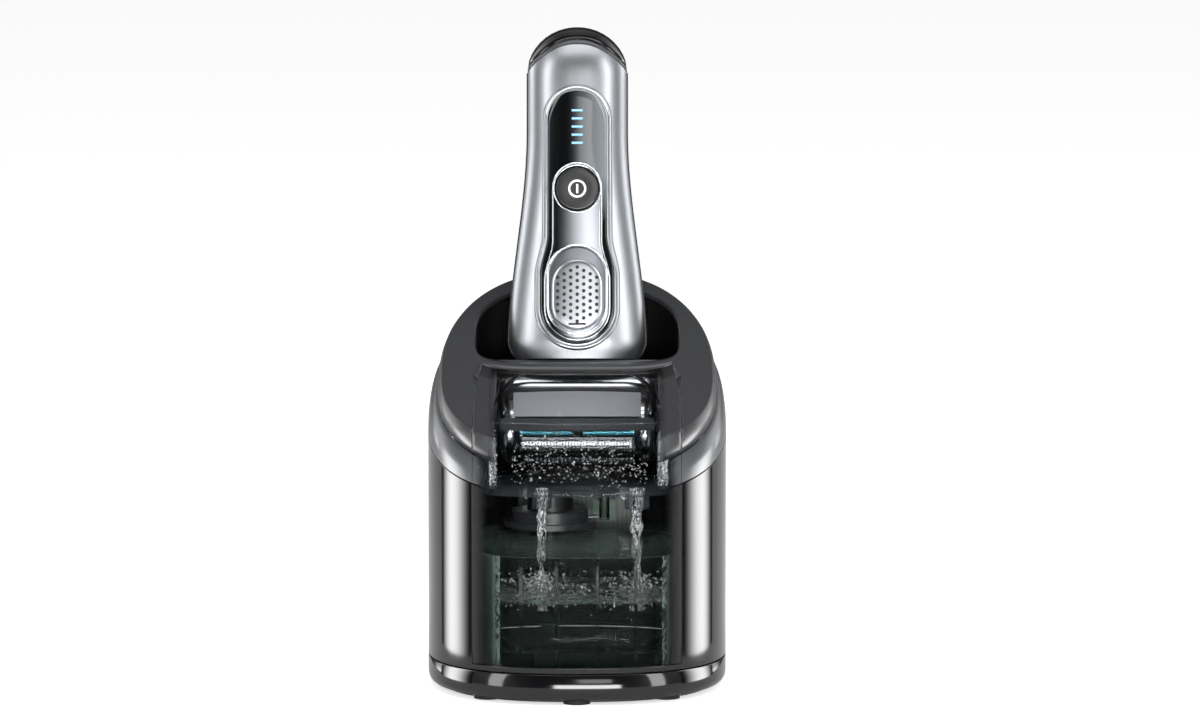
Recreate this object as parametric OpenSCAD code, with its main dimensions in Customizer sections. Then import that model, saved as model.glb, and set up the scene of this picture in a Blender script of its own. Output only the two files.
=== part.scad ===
/* [Station] */
// Width of the station across its waist
station_w = 109.4; // [98:0.2:122]
// Depth of the station from front to back
station_d = 116; // [106:0.5:128]
// Thickness of the housing walls
wall = 2.2; // [1.6:0.1:2.6]
// Height of the rubber feet
foot_h = 1.8; // [1.4:0.1:2.4]
// Height of the base plinth above the feet
plinth_h = 9.7; // [8:0.1:12]
// Height of the oblique seam under the collar, on the middle line
seam_z = 95; // [90:0.5:98]
// Rise of the deck above that seam, on the middle line
deck_rise = 20; // [18:0.5:24]
// Width of the smoked window in the front
window_w = 76; // [72:0.5:78]
// Gap between housing covers along their seams
seam_gap = 0.4; // [0.3:0.05:0.6]

/* [Cartridge] */
// Width of the cleaning cartridge
cartridge_w = 79; // [70:0.5:80]
// Depth of the cleaning cartridge
cartridge_d = 74; // [60:0.5:78]
// Height of the cartridge tub
cartridge_h = 47; // [40:0.5:48]
// Wall of the cartridge tub
cartridge_wall = 1.2; // [0.9:0.1:1.8]
// Depth of cleaning fluid in the tub
fluid_h = 29; // [18:0.5:34]

/* [Wash bowl] */
// Inside width of the wash bowl
bowl_w = 73; // [72:0.5:75]
// Inside depth of the wash bowl from front to back
bowl_d = 50; // [48:0.5:52]
// Height of the wash bowl floor
bowl_z = 69.5; // [67:0.5:71]
// Height of the wash bowl walls
bowl_h = 27; // [22:0.5:30]

/* [Lift] */
// Diameter of the two guide posts
post_d = 5; // [4:0.1:6]
// Distance of each guide post from the middle
post_x = 46.4; // [46:0.1:47]
// Running clearance around each guide post
post_fit = 0.1; // [0.05:0.01:0.1]

/* [Handle] */
// Length of the handle from the head pivot to its end
handle_l = 140; // [134:0.5:150]
// Width of the handle where it is widest, near the head
handle_w = 51.8; // [48:0.2:56]
// Width of the handle at its slim end
grip_w = 37; // [34:0.2:42]
// Depth of the handle in front of its axis
front_d = 15.5; // [14.5:0.1:16.5]
// Depth of the handle behind its axis, near the head
back_d = 15.5; // [14.5:0.1:16]
// Wall of the handle shells
shell_t = 1.8; // [1.4:0.1:2.2]
// Backward lean of the docked shaver
lean = 10; // [8:0.5:12]

/* [Controls] */
// Diameter of the power button
button_d = 15.6; // [12:0.1:16]
// Width of the sliding lock pad
lock_w = 18; // [14:0.1:18.6]
// Length of the sliding lock pad
lock_l = 26.2; // [20:0.1:27]
// Travel of the sliding lock pad
lock_travel = 4; // [2:0.1:4.5]

/* [Head] */
// Width of the shaving head between the yoke arms
head_w = 58.8; // [54:0.2:62]
// Radius of the head housing around its pivot
head_r = 11.5; // [10.5:0.1:12]
// Forward swing of the docked head
swing = 16; // [10:0.5:18]
// Diameter of the two pivot pins
pivot_d = 4; // [3:0.1:5]
// Length of the foils and of the trimmer
foil_l = 42.2; // [36:0.2:46]
// Outer radius of each foil arch
foil_r = 4.6; // [4.2:0.1:4.8]
// Distance of each foil from the middle of the head
foil_y = 7.6; // [7.4:0.1:7.9]

/* [Hidden] */
$fn = 48;

// the station's outline is a squarish oval, and its covers meet along slanted seams
station_n = 2.4;
seam_slope = 0.325;
groove_slope = 0.445;
deck_slope = 0.485;
deck_curl = 0.002;
groove_z = seam_z + 0.68 * deck_rise;
deck_z = seam_z + deck_rise;
collar_in = 3.5;
deck_in = 5.3;
steps = 48;

tray_top = foot_h + plinth_h;
tray_floor = foot_h + 3.2;
body_z = tray_top + seam_gap;
window_z = body_z + 2;
pane_gap = 0.15;

// the shaver hangs from the docked head's pivot line
pivot_y = 21.5;
pivot_z = 100;

well_w = window_w - 0.6;
well_y = 22;
well_d = 24.5;
rim_y = 6;

bowl_y = 18;
bowl_wall = 1.8;

cartridge_x = 1.5;
cartridge_y = -6;
tub_z = tray_floor;
lid_h = 2.6;
lid_z = tub_z + cartridge_h;

pump_x = -10;
pump_y = 16;
pump_z = lid_z + lid_h + 1.2;

function smooth(t) = let (u = max(0, min(1, t))) u * u * (3 - 2 * u);
function mix(a, b, t) = a + (b - a) * t;
function oval(a, b, n, f) = [
    a * sign(cos(f)) * pow(abs(cos(f)), 2 / n),
    b * sign(sin(f)) * pow(abs(sin(f)), 2 / n)];
function oval_ring(a, b, n, count = 72) = [for (i = [0:count - 1]) oval(a, b, n, 360 * i / count)];
function seam_at(y) = seam_z + seam_slope * y;
function groove_at(y) = groove_z + groove_slope * y;
function deck_at(y) = deck_z + deck_slope * y + deck_curl * y * y;

// a closed wall between two grids of points; rows run upwards and points run anticlockwise
module shell(outer, inner, wrap) {
    n = len(outer);
    m = len(outer[0]);
    k = n * m;
    last = wrap ? m - 1 : m - 2;
    top = (n - 1) * m;
    skin = [for (r = [0:n - 2], i = [0:last])
        let (j = (i + 1) % m, a = r * m + i, b = r * m + j, c = b + m, d = a + m)
        each [[a, d, c], [a, c, b], [a + k, c + k, d + k], [a + k, b + k, c + k]]];
    rims = [for (i = [0:last]) let (j = (i + 1) % m)
        each [[i, j, j + k], [i, j + k, i + k],
              [top + j, top + i, top + i + k], [top + j, top + i + k, top + j + k]]];
    ends = wrap ? [] : [for (r = [0:n - 2])
        let (a = r * m, d = a + m, b = a + m - 1, c = b + m)
        each [[d, a, a + k], [d, a + k, d + k], [b, c, c + k], [b, c + k, b + k]]];
    polyhedron([each [for (r = outer) each r], each [for (r = inner) each r]],
        concat(skin, rims, ends), convexity = 8);
}

module oval_bar(a, b, n, z0, z1) {
    translate([0, 0, z0]) linear_extrude(z1 - z0) polygon(oval_ring(a, b, n));
}

module ring(r_out, r_in, z0, z1) {
    translate([0, 0, z0]) difference() {
        cylinder(r = r_out, h = z1 - z0);
        translate([0, 0, -1]) cylinder(r = r_in, h = z1 - z0 + 2);
    }
}

module pair() {
    children();
    mirror([1, 0, 0]) children();
}

// ---- station: base -------------------------------------------------------------------
foot_places = [[32.5, 38], [-32.5, 38], [0, 50], [32.5, -38], [-32.5, -38], [0, -50]];
foot_d = 10;

module feet() {
    color("#202124") for (p = foot_places) translate([p[0], p[1], 0]) cylinder(d = foot_d, h = foot_h);
}

module base_plate() {
    color("#1c1d1f") difference() {
        oval_bar(station_w / 2 - 5, station_d / 2 - 5, station_n, foot_h - 1, foot_h);
        for (p = foot_places) translate([p[0], p[1], -1]) cylinder(d = foot_d + 0.6, h = foot_h + 2);
    }
}

module base_tray() {
    a = station_w / 2;
    b = station_d / 2;
    color("#18191b") difference() {
        union() {
            oval_bar(a - 2, b - 2, station_n, foot_h, foot_h + 1.6);
            oval_bar(a, b, station_n, foot_h + 1.6, tray_top);
        }
        difference() {
            oval_bar(a - wall - 1, b - wall - 1, station_n, tray_floor, tray_top + 1);
            pair() translate([post_x, 8, 0]) cylinder(d = post_d + 3, h = tray_top);
        }
        pair() translate([post_x, 8, tray_floor]) cylinder(d = post_d + 0.1, h = tray_top);
    }
}

post_top = 100;
sleeve_z = 24;
sleeve_h = 40;
sleeve_wall = 1.4;

module guide_posts() {
    color("silver") pair() translate([post_x, 8, tray_floor])
        cylinder(d = post_d, h = post_top - tray_floor);
}

module lift_springs() {
    wire = 0.45;
    count = 7;
    pitch = (sleeve_z - tray_top - 1.6) / (count - 1);
    color("#b8bcc0") pair() for (i = [0:count - 1]) translate([post_x, 8, tray_top + 0.7 + i * pitch])
        rotate_extrude() translate([post_d / 2 + 0.9, 0]) circle(r = wire, $fn = 16);
}

// ---- station: cartridge --------------------------------------------------------------
module in_cartridge() {
    translate([cartridge_x, cartridge_y, 0]) children();
}

tub_a = cartridge_w / 2;
tub_b = cartridge_d / 2;
tub_n = 3.4;
baffle_t = 1.2;
baffle_xs = [-22, -9, 6, 20];

module cartridge_tub() {
    color("#9fb3ad", 0.5) in_cartridge() difference() {
        oval_bar(tub_a, tub_b, tub_n, tub_z, lid_z);
        oval_bar(tub_a - cartridge_wall, tub_b - cartridge_wall, tub_n, tub_z + 1.5, lid_z + 1);
    }
}

module baffle_shapes(grow) {
    for (x = baffle_xs) translate([x - baffle_t / 2 - grow, -tub_b + 8 - grow, tub_z + 1.5 - grow])
        cube([baffle_t + 2 * grow, tub_b + 10 + 2 * grow, cartridge_h - 6 + 2 * grow]);
    for (x = [-29, 15]) translate([x - grow, -tub_b + 9 - grow, tub_z + 1.5 - grow])
        cube([12 + 2 * grow, 14 + 2 * grow, 7 + 2 * grow]);
}

module cartridge_baffles() {
    color("#5d6f6b", 0.6) in_cartridge() baffle_shapes(0);
}

module cleaning_fluid() {
    inset = cartridge_wall + 0.1;
    color("#a9d0d6", 0.5) in_cartridge() difference() {
        oval_bar(tub_a - inset, tub_b - inset, tub_n, tub_z + 1.6, tub_z + 1.6 + fluid_h);
        baffle_shapes(0.1);
        translate([suction_at[0] - cartridge_x, suction_at[1] - cartridge_y, 0])
            cylinder(d = suction_d + 0.6, h = 100);
    }
}

suction_d = 7;
suction_at = [pump_x, pump_y];
drain_left = [-13, -1];
drain_right = [22, -1];

module cartridge_lid() {
    color("#8ea39e", 0.6) difference() {
        in_cartridge() union() {
            oval_bar(tub_a, tub_b, tub_n, lid_z, lid_z + lid_h);
            difference() {
                oval_bar(tub_a - cartridge_wall - 0.2, tub_b - cartridge_wall - 0.2, tub_n,
                    lid_z - 1.5, lid_z);
                oval_bar(tub_a - 3.2, tub_b - 3.2, tub_n, lid_z - 2, lid_z + 0.5);
            }
        }
        translate([suction_at[0], suction_at[1], lid_z - 5]) cylinder(d = suction_d + 2, h = 10);
        translate([drain_left[0], drain_left[1] + 12, lid_z - 5]) cylinder(d = 8, h = 10);
        translate([drain_left[0] - 4, drain_left[1] - 3, lid_z - 5]) cube([8, 15, 10]);
        translate([drain_right[0], drain_right[1], lid_z - 5]) cylinder(d = 14, h = 10);
    }
}

// ---- station: lifting housing --------------------------------------------------------
module under_seam(drop) {
    translate([0, 0, seam_z - drop]) rotate([atan(seam_slope), 0, 0])
        translate([-150, -150, -300]) cube([300, 300, 300]);
}

module window_slot(w, z0) {
    translate([-w / 2, -station_d, z0]) cube([w, station_d, 200]);
}

module housing_wall() {
    a = station_w / 2;
    b = station_d / 2;
    difference() {
        oval_bar(a, b, station_n, body_z, seam_z + 40);
        oval_bar(a - wall, b - wall, station_n, body_z - 1, seam_z + 41);
    }
}

button_z = 70;
lift_button_w = 24;
lift_button_h = 12;
inlet_x = 22;
inlet_z = 24;

module lower_body() {
    color("#141517") intersection() {
        difference() {
            housing_wall();
            window_slot(window_w, window_z);
            translate([-lift_button_w / 2 - 0.4, 20, button_z - lift_button_h / 2 - 0.4])
                cube([lift_button_w + 0.8, 60, lift_button_h + 0.8]);
            translate([inlet_x - 8.3, 20, inlet_z - 5.3]) cube([16.6, 60, 10.6]);
        }
        under_seam(seam_gap / 2);
    }
}

module front_window() {
    color("#30353a", 0.4) intersection() {
        housing_wall();
        window_slot(window_w - 2 * pane_gap, window_z + pane_gap);
        under_seam(seam_gap / 2);
    }
}

// angle, measured from the +X side, at which an oval of half-width a crosses the window's edge
function edge_angle(a, w) = acos(pow(w / 2 / a, station_n / 2));
function back_angle(a, w, t) = let (e = edge_angle(a, w)) mix(-e, 180 + e, t);
function front_angle(a, w, t) = let (e = edge_angle(a, w)) mix(180 + e, 360 - e, t);
function station_point(inset, f) = oval(station_w / 2 - inset, station_d / 2 - inset, station_n, f);

// one row of the collar, from the seam (t = 0) up to the groove (t = 1)
function collar_row(t, inset, fs, lift) = [for (f = fs)
    let (p = station_point(inset + collar_in * (1 - sqrt(1 - t * t)), f))
    [p[0], p[1], mix(seam_at(p[1]) + lift, groove_at(p[1]) - seam_gap / 2, t)]];

collar_ts = [0, 0.3, 0.6, 0.85, 1];

function collar_angles(t, w, front, count) =
    let (a = station_w / 2 - collar_in * (1 - sqrt(1 - t * t)))
    [for (i = [0:count]) front ? front_angle(a, w, i / count) : back_angle(a, w, i / count)];

module collar() {
    color("#4a4d52") shell(
        [for (t = collar_ts) collar_row(t, 0, collar_angles(t, window_w, false, steps), seam_gap / 2)],
        [for (t = collar_ts) collar_row(t, wall, collar_angles(t, window_w, false, steps), seam_gap / 2)],
        false);
}

module collar_window() {
    w = window_w - 2 * pane_gap;
    color("#30353a", 0.4) shell(
        [for (t = collar_ts) collar_row(t, 0, collar_angles(t, w, true, 16), seam_gap / 2)],
        [for (t = collar_ts) collar_row(t, wall, collar_angles(t, w, true, 16), seam_gap / 2)],
        false);
}

// the deck's edge band stands on the groove and turns over into the deck; deep is the distance
// from the outer face
function deck_edge(t, w, front, count, deep) = [for (i = [0:count])
    let (inset = mix(collar_in, deck_in, t) + deep, a = station_w / 2 - inset,
        f = front ? front_angle(a, w, i / count) : back_angle(a, w, i / count),
        p = station_point(inset, f))
    [p[0], p[1], mix(groove_at(p[1]) + seam_gap / 2, deck_at(p[1]) - deep, smooth(t))]];

function well_row(count) = [for (i = [0:count])
    let (s = i / count, straight = 0.12, f = mix(0, 180, (s - straight) / (1 - 2 * straight)),
        p = s < straight ? [well_w / 2, mix(rim_y, well_y, s / straight)]
            : s > 1 - straight ? [-well_w / 2, mix(well_y, rim_y, (s - 1 + straight) / straight)]
            : [0, well_y] + oval(well_w / 2, well_d, 2.6, f))
    [p[0], p[1], deck_at(p[1])]];

function rim_row(w, count) = [for (i = [0:count]) [mix(-w / 2, w / 2, i / count), rim_y, deck_at(rim_y)]];
function blend_rows(p, q, t) = [for (i = [0:len(p) - 1])
    let (v = mix(p[i], q[i], t)) [v[0], v[1], deck_at(v[1])]];
function dropped(row, d) = [for (p = row) [p[0], p[1], p[2] - d]];

// the deck's skin: its edge band, then the slope down to an inner edge
function deck_rows(w, front, count, inner_edge, deep) =
    let (edge = deck_edge(1, w, front, count, deep), low = dropped(inner_edge, deep))
    [deck_edge(0, w, front, count, deep), deck_edge(0.5, w, front, count, deep), edge,
     dropped(blend_rows(edge, low, 0.5), deep), low];

module deck() {
    well = well_row(steps);
    color("#3a3c40") shell(deck_rows(window_w, false, steps, well, 0),
        deck_rows(window_w, false, steps, well, wall), false);
}

module deck_window() {
    w = window_w - 2 * pane_gap;
    rim = rim_row(well_w - 2 * pane_gap, 16);
    color("#30353a", 0.4) shell(deck_rows(w, true, 16, rim, 0), deck_rows(w, true, 16, rim, wall), false);
}

liner_t = 1.6;
liner_top = 0.3;

// the liner runs from the well's edge in the deck down to the rim of the wash bowl
module well_liner() {
    count = 40;
    well = well_row(count);
    low = [for (i = [0:count]) let (f = mix(-14, 194, i / count),
        p = [0, bowl_y] + oval(bowl_w / 2 + bowl_wall, bowl_d / 2 + bowl_wall, 3, f))
        [p[0], p[1], bowl_z + bowl_h + 0.3]];
    high = [for (p = well) [p[0], p[1], p[2] - wall - liner_top]];
    rows = [low, [for (i = [0:count]) mix(low[i], high[i], 0.5)], high];
    grown = [for (r = rows) [for (p = r) let (v = [p[0], p[1] - well_y], q = norm(v))
        [p[0] + v[0] / q * liner_t, p[1] + v[1] / q * liner_t, p[2]]]];
    color("#1b1c1e") shell(grown, rows, false);
}

module in_bowl() {
    translate([0, bowl_y, 0]) children();
}

// two ledges in the bowl carry the yoke's arms, just outside the swinging head
module wash_bowl() {
    a = bowl_w / 2;
    b = bowl_d / 2;
    ledge_x = head_w / 2 + arm_gap + 0.5;
    ledge_top = pivot_z - arm_r - 0.3;
    color("#2b3338", 0.6) difference() {
        in_bowl() difference() {
            oval_bar(a + bowl_wall, b + bowl_wall, 3, bowl_z, bowl_z + bowl_h);
            difference() {
                oval_bar(a, b, 3, bowl_z + bowl_wall, bowl_z + bowl_h + 1);
                pair() translate([ledge_x, pivot_y - bowl_y - 4, 0]) cube([20, 8, ledge_top]);
            }
        }
        translate([drain_left[0], drain_left[1], bowl_z - 1]) cylinder(d = 4.6, h = 5);
        translate([drain_right[0], drain_right[1], bowl_z - 1]) cylinder(d = 6.2, h = 5);
    }
}

module drain_spouts() {
    color("#24282c") {
        translate([drain_left[0], drain_left[1], 0]) ring(3.6, 2.3, bowl_z - 5, bowl_z);
        translate([drain_right[0], drain_right[1], 0]) ring(4.6, 3.1, bowl_z - 5, bowl_z);
    }
}

module lift_sleeves() {
    r = post_d / 2 + post_fit;
    color("#26282b") pair() difference() {
        union() {
            translate([post_x, 8, sleeve_z]) cylinder(r = r + sleeve_wall, h = sleeve_h);
            intersection() {
                translate([post_x, 8 - 1, sleeve_z]) cube([20, 2, sleeve_h]);
                oval_bar(station_w / 2 - wall, station_d / 2 - wall, station_n, 0, 200);
            }
        }
        translate([post_x, 8, sleeve_z - 1]) cylinder(r = r, h = sleeve_h + 2);
    }
}

// ---- station: pump, electrics and latch -----------------------------------------------
pump_r = 17;
rotor_r = 11;

module in_pump() {
    translate([pump_x, pump_y, 0]) children();
}

module pump_housing() {
    color("#17191b") in_pump() difference() {
        union() {
            translate([0, 0, pump_z]) cylinder(r = pump_r, h = 2);
            translate([0, 0, pump_z + 2]) cylinder(r = pump_r - 3, h = 4);
        }
        translate([0, 0, pump_z + 1.2]) cylinder(r = rotor_r + 0.6, h = 3.6);
        translate([0, 0, pump_z + 1]) cylinder(r = 1.5, h = 10);
        translate([0, 0, pump_z - 1]) cylinder(d = suction_d - 2, h = 3);
        translate([rotor_r - 3, 0, pump_z + 3]) rotate([0, 90, 0]) cylinder(d = 2.4, h = 20);
    }
}

module pump_impeller() {
    color("#d0d4d6") in_pump() {
        translate([0, 0, pump_z + 1.6]) cylinder(r = 3.2, h = 2.6);
        for (k = [0:5]) rotate([0, 0, 60 * k]) translate([2.8, -0.6, pump_z + 1.7])
            cube([rotor_r - 3.2, 1.2, 2.4]);
        translate([0, 0, pump_z + 4.1]) cylinder(r = 1.0, h = 3.5);
    }
}

module pump_motor() {
    top = pump_z + 6;
    color("#8b9095") in_pump() difference() {
        translate([0, 0, top]) cylinder(r = 8.5, h = bowl_z - 0.4 - top);
        translate([0, 0, top - 1]) cylinder(r = 1.3, h = 4);
    }
}

module suction_tube() {
    color("#3a3f44") translate([suction_at[0], suction_at[1], 0])
        ring(suction_d / 2, suction_d / 2 - 1, tub_z + 6, pump_z);
}

module delivery_tube() {
    x = pump_x + pump_r - 1;
    color("#3a3f44") {
        translate([x, pump_y, pump_z + 2.1]) difference() {
            union() {
                translate([-1.9, 0, 0.9]) rotate([0, 90, 0]) cylinder(d = 1.8, h = 5.8);
                translate([4, 0, 0]) cylinder(d = 4, h = bowl_z - pump_z - 2.2);
            }
            translate([4, 0, 1]) cylinder(d = 2.4, h = 20);
        }
    }
}

pcb_y = 44;
pcb_w = 44;
pcb_h = 32;
pcb_z = 36;
pcb_t = 1.6;
pcb_holes = [[-18, 4], [18, 4], [-18, 28], [18, 28]];

module station_pcb() {
    color("#1f5a3c") difference() {
        union() {
            translate([-pcb_w / 2, pcb_y, pcb_z]) cube([pcb_w, pcb_t, pcb_h]);
            translate([-12, pcb_y - 6, pcb_z + 8]) cube([14, 6, 10]);
            translate([6, pcb_y - 4, pcb_z + 18]) cube([8, 4, 8]);
        }
        for (p = pcb_holes) translate([p[0], pcb_y - 1, pcb_z + p[1]]) rotate([-90, 0, 0])
            cylinder(d = 3.1, h = 5);
    }
}

module pcb_screws() {
    boss = 3.5;
    color("#9a9ea2") for (p = pcb_holes) translate([p[0], 0, pcb_z + p[1]]) rotate([-90, 0, 0]) {
        translate([0, 0, pcb_y - 1.6]) cylinder(d = 5, h = 1.6);
        translate([0, 0, pcb_y - 0.5]) cylinder(d = 2.8, h = boss + 0.5);
        intersection() {
            translate([0, 0, pcb_y + pcb_t]) cylinder(d = 6, h = 30);
            rotate([90, 0, 0]) translate([-p[0], 0, -pcb_z - p[1]])
                oval_bar(station_w / 2 - wall, station_d / 2 - wall, station_n, 0, 200);
        }
    }
}

// a contact block on the liner's back wall; its two pins end just short of the docked handle
module station_contacts() {
    z = pivot_z + contact_z * cos(lean) - back_d * sin(lean);
    y = pivot_y + contact_z * sin(lean) + (back_d + 0.4) / cos(lean);
    block_y = well_y + well_d - 4.6;
    color("#c9a24a") {
        translate([-8, block_y, z - 3]) cube([16, 3.4, 6]);
        pair() translate([5, y, z]) rotate([-90, 0, 0]) cylinder(d = 2, h = block_y - y + 0.5);
    }
}

module lift_button() {
    z0 = button_z - lift_button_h / 2;
    color("#2a2b2e") difference() {
        intersection() {
            translate([-lift_button_w / 2, station_d / 2 - 8, z0])
                cube([lift_button_w, 20, lift_button_h]);
            oval_bar(station_w / 2, station_d / 2, station_n, 0, 200);
        }
        translate([-lift_button_w / 2 + 2, 0, z0 + 2])
            cube([lift_button_w - 4, station_d / 2 - 4, lift_button_h - 4]);
    }
}

module power_inlet() {
    color("#111214") difference() {
        intersection() {
            translate([inlet_x - 8, station_d / 2 - 16, inlet_z - 5]) cube([16, 40, 10]);
            oval_bar(station_w / 2, station_d / 2, station_n, 0, 200);
        }
        translate([inlet_x - 6, station_d / 2 - 14, inlet_z - 3]) cube([12, 40, 6]);
    }
}

// ---- shaver: handle -------------------------------------------------------------------
module in_shaver() {
    translate([0, pivot_y, pivot_z]) rotate([-lean, 0, 0]) children();
}

handle_z = 16.4;
end_dome = 18;
handle_n = 2.5;
cap_h = 7.4;
seam_drop = 9.7;
band_h = 2.2;

// half-width, front depth and back depth of the handle at a height above the pivot
dome_z = handle_l - end_dome;
function dome(z) = z < dome_z ? 1 : sqrt(max(0, 1 - pow((z - dome_z) / end_dome, 2)));
function shoulder(z) = z > 24 ? 1 : 1 - 0.14 * pow((24 - z) / 8, 2);
function half_w(z) = dome(z) * shoulder(z) * mix(handle_w / 2, grip_w / 2 + 0.3,
    smooth((z - 18) / (0.59 * handle_l)));
function front_y(z) = dome(z) * mix(front_d - 1.5, front_d, smooth((z - handle_z) / 6));
function back_y(z) = dome(z) * mix(back_d, back_d - 2.8, smooth((z - 92) / 34));

function handle_point(z, f, inset) =
    let (d = sin(f) < 0 ? front_y(z) : back_y(z),
        p = oval(max(0.3, half_w(z) - inset), max(0.3, d - inset), handle_n, f))
    [p[0], p[1], z];

function shell_top(f) = handle_l - cap_h - seam_drop * pow(cos(f), 2);

// one handle shell, between two angles, from the foot of the handle up to the end band
module handle_shell(f0, f1, inset, flat_top) {
    rows = 12;
    count = 28;
    outer = [for (r = [0:rows]) [for (i = [0:count]) let (f = mix(f0, f1, i / count),
        z = mix(handle_z, flat_top ? handle_l - cap_h - seam_drop : shell_top(f), r / rows))
        handle_point(z, f, inset)]];
    inner = [for (r = [0:rows]) [for (i = [0:count]) let (f = mix(f0, f1, i / count),
        z = mix(handle_z, flat_top ? handle_l - cap_h - seam_drop : shell_top(f), r / rows))
        handle_point(z, f, inset + shell_t)]];
    shell(outer, inner, false);
}

inlay_top = handle_l - 22.4;
rim_w = 13.05;
rim_w2 = 15.3;
rim_low = 19.6;
plate_w = 10.8;
plate_w2 = 13.5;
button_at = handle_l - 61.1;
lock_low = 26.6;
cut_gap = 0.3;

// outline of the inlay, seen from the front: round top, waisted sides and a wide round foot
function inlay_half(z, w, w2) = w + (w2 - w) * smooth((62 - z) / 15);
function inlay_outline(w, w2, low, top) = concat(
    [for (i = [0:24]) let (f = 180 + 180 * i / 24) [w2 * cos(f), low + w2 + w2 * sin(f)]],
    [for (i = [1:9]) let (z = mix(low + w2, 66, i / 10)) [inlay_half(z, w, w2), z]],
    [for (i = [0:24]) let (f = 180 * i / 24) [w * cos(f), top - w + w * sin(f)]],
    [for (i = [1:9]) let (z = mix(66, low + w2, i / 10)) [-inlay_half(z, w, w2), z]]);

// a shape drawn in the front view, cut through the handle's front
module front_prism(y0, y1) {
    translate([0, y1, 0]) rotate([90, 0, 0]) linear_extrude(y1 - y0) children();
}

// a curved sheet parallel to the handle's front surface
module front_sheet(out, thick) {
    a = 21.5;
    translate([0, 0, handle_z]) linear_extrude(handle_l - handle_z) difference() {
        polygon(oval_ring(a + out, front_d + out, handle_n));
        polygon(oval_ring(a + out - thick, front_d + out - thick, handle_n));
    }
}

module pill(w, z0, z1) {
    translate([0, z0 + w / 2]) circle(d = w);
    translate([0, z1 - w / 2]) circle(d = w);
    translate([-w / 2, z0 + w / 2]) square([w, z1 - z0 - w]);
}

module front_shell() {
    color("#b9bcc0") in_shaver() difference() {
        handle_shell(180 + 4, 360 - 4, 0.5, false);
        front_prism(-30, 0)
            polygon(inlay_outline(rim_w + cut_gap, rim_w2 + cut_gap, rim_low - cut_gap, inlay_top + cut_gap));
    }
}

module rear_shell() {
    color("#1a1b1d") in_shaver() difference() {
        handle_shell(-3, 183, 0, true);
        for (x = [-5, 5]) translate([x, 2, contact_z]) rotate([-90, 0, 0]) cylinder(d = 3.2, h = 30);
    }
}

function band_rows(inset) = [for (t = [0, 1]) [for (i = [0:steps - 1]) let (f = 360 * i / steps,
    z = (sin(f) < 0 ? shell_top(f) : shell_top(0)) + 0.2 + t * (band_h - 0.4))
    handle_point(z, f, inset)]];

module end_band() {
    color("#3c3e42") in_shaver() shell(band_rows(0.3), band_rows(0.3 + shell_t), true);
}

cap_ts = [0, 0.3, 0.55, 0.75, 0.9, 0.98];
function cap_rows(inset) = [for (t = cap_ts) [for (i = [0:steps - 1]) let (f = 360 * i / steps,
    z0 = (sin(f) < 0 ? shell_top(f) : shell_top(0)) + band_h,
    p = handle_point(mix(z0, handle_l, t), f, inset)) [p[0], p[1], p[2] - inset * t]]];

module end_cap() {
    rows = cap_rows(0);
    hole = cap_rows(shell_t);
    n = len(rows);
    m = steps;
    k = n * m;
    top = (n - 1) * m;
    color("#101113") in_shaver() polyhedron(
        [each [for (r = rows) each r], [0, 0, handle_l], each [for (r = hole) each r],
            [0, 0, handle_l - shell_t]],
        concat(
            [for (r = [0:n - 2], i = [0:m - 1])
                let (j = (i + 1) % m, a = r * m + i, b = r * m + j, q = k + 1)
                each [[a, a + m, b + m], [a, b + m, b],
                      [a + q, b + m + q, a + m + q], [a + q, b + q, b + m + q]]],
            [for (i = [0:m - 1]) let (j = (i + 1) % m, q = k + 1)
                each [[i, j, j + q], [i, j + q, i + q], [top + j, top + i, k],
                      [top + i + q, top + j + q, k + q]]]), convexity = 6);
}

module inlay_rim() {
    color("#c6c9cc") in_shaver() intersection() {
        front_sheet(0.3, 2);
        front_prism(-30, 0) difference() {
            polygon(inlay_outline(rim_w, rim_w2, rim_low, inlay_top));
            polygon(inlay_outline(plate_w + 0.1, plate_w2 + 0.1, rim_low + 1.7, inlay_top - 1.7));
        }
    }
}

bar_w = 4.1;
bar_h = 0.8;
bar_pitch = 3;
bar_top = handle_l - 32.1;

module bar_shapes(grow) {
    for (i = [0:4]) translate([-bar_w / 2 - grow, bar_top - i * bar_pitch - bar_h / 2 - grow])
        square([bar_w + 2 * grow, bar_h + 2 * grow]);
}

module inlay() {
    color("#0c0d0f") in_shaver() intersection() {
        front_sheet(0.1, 1.8);
        front_prism(-30, 0) difference() {
            polygon(inlay_outline(plate_w, plate_w2, rim_low + 1.8, inlay_top - 1.8));
            translate([0, button_at]) circle(d = button_d + 2.8);
            pill(lock_w + 2.2, lock_low - 1.6, lock_low + lock_l + lock_travel + 1.6);
            bar_shapes(0.1);
        }
    }
}

module charge_bars() {
    color("#8fd2ff") in_shaver() intersection() {
        front_sheet(0.1, 1.8);
        front_prism(-30, 0) bar_shapes(0);
    }
}

module on_front(z, y) {
    translate([0, y, z]) rotate([90, 0, 0]) children();
}

module button_ring() {
    color("#d3d6d8") in_shaver() on_front(button_at, -front_d + 1.6)
        ring(button_d / 2 + 1.2, button_d / 2 + 0.3, 0, 2.2);
}

module power_button() {
    color("#0b0c0d") in_shaver() on_front(button_at, -front_d + 2.8) {
        cylinder(d = button_d, h = 3.3);
        translate([0, 0, -2]) cylinder(d = 3, h = 2);
    }
}

module power_symbol() {
    y = -front_d + 2.8 - 3.3;
    color("white") in_shaver() on_front(button_at, y) {
        ring(3.35, 2.5, 0, 0.15);
        translate([-0.4, -1.6, 0]) cube([0.8, 3.2, 0.15]);
    }
}

module lock_bezel() {
    color("#8d9196") in_shaver() front_prism(-front_d - 0.3, -front_d + 2) difference() {
        pill(lock_w + 2, lock_low - 1.5, lock_low + lock_l + lock_travel + 1.5);
        pill(lock_w + 0.6, lock_low - 0.5, lock_low + lock_l + lock_travel + 0.5);
    }
}

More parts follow.
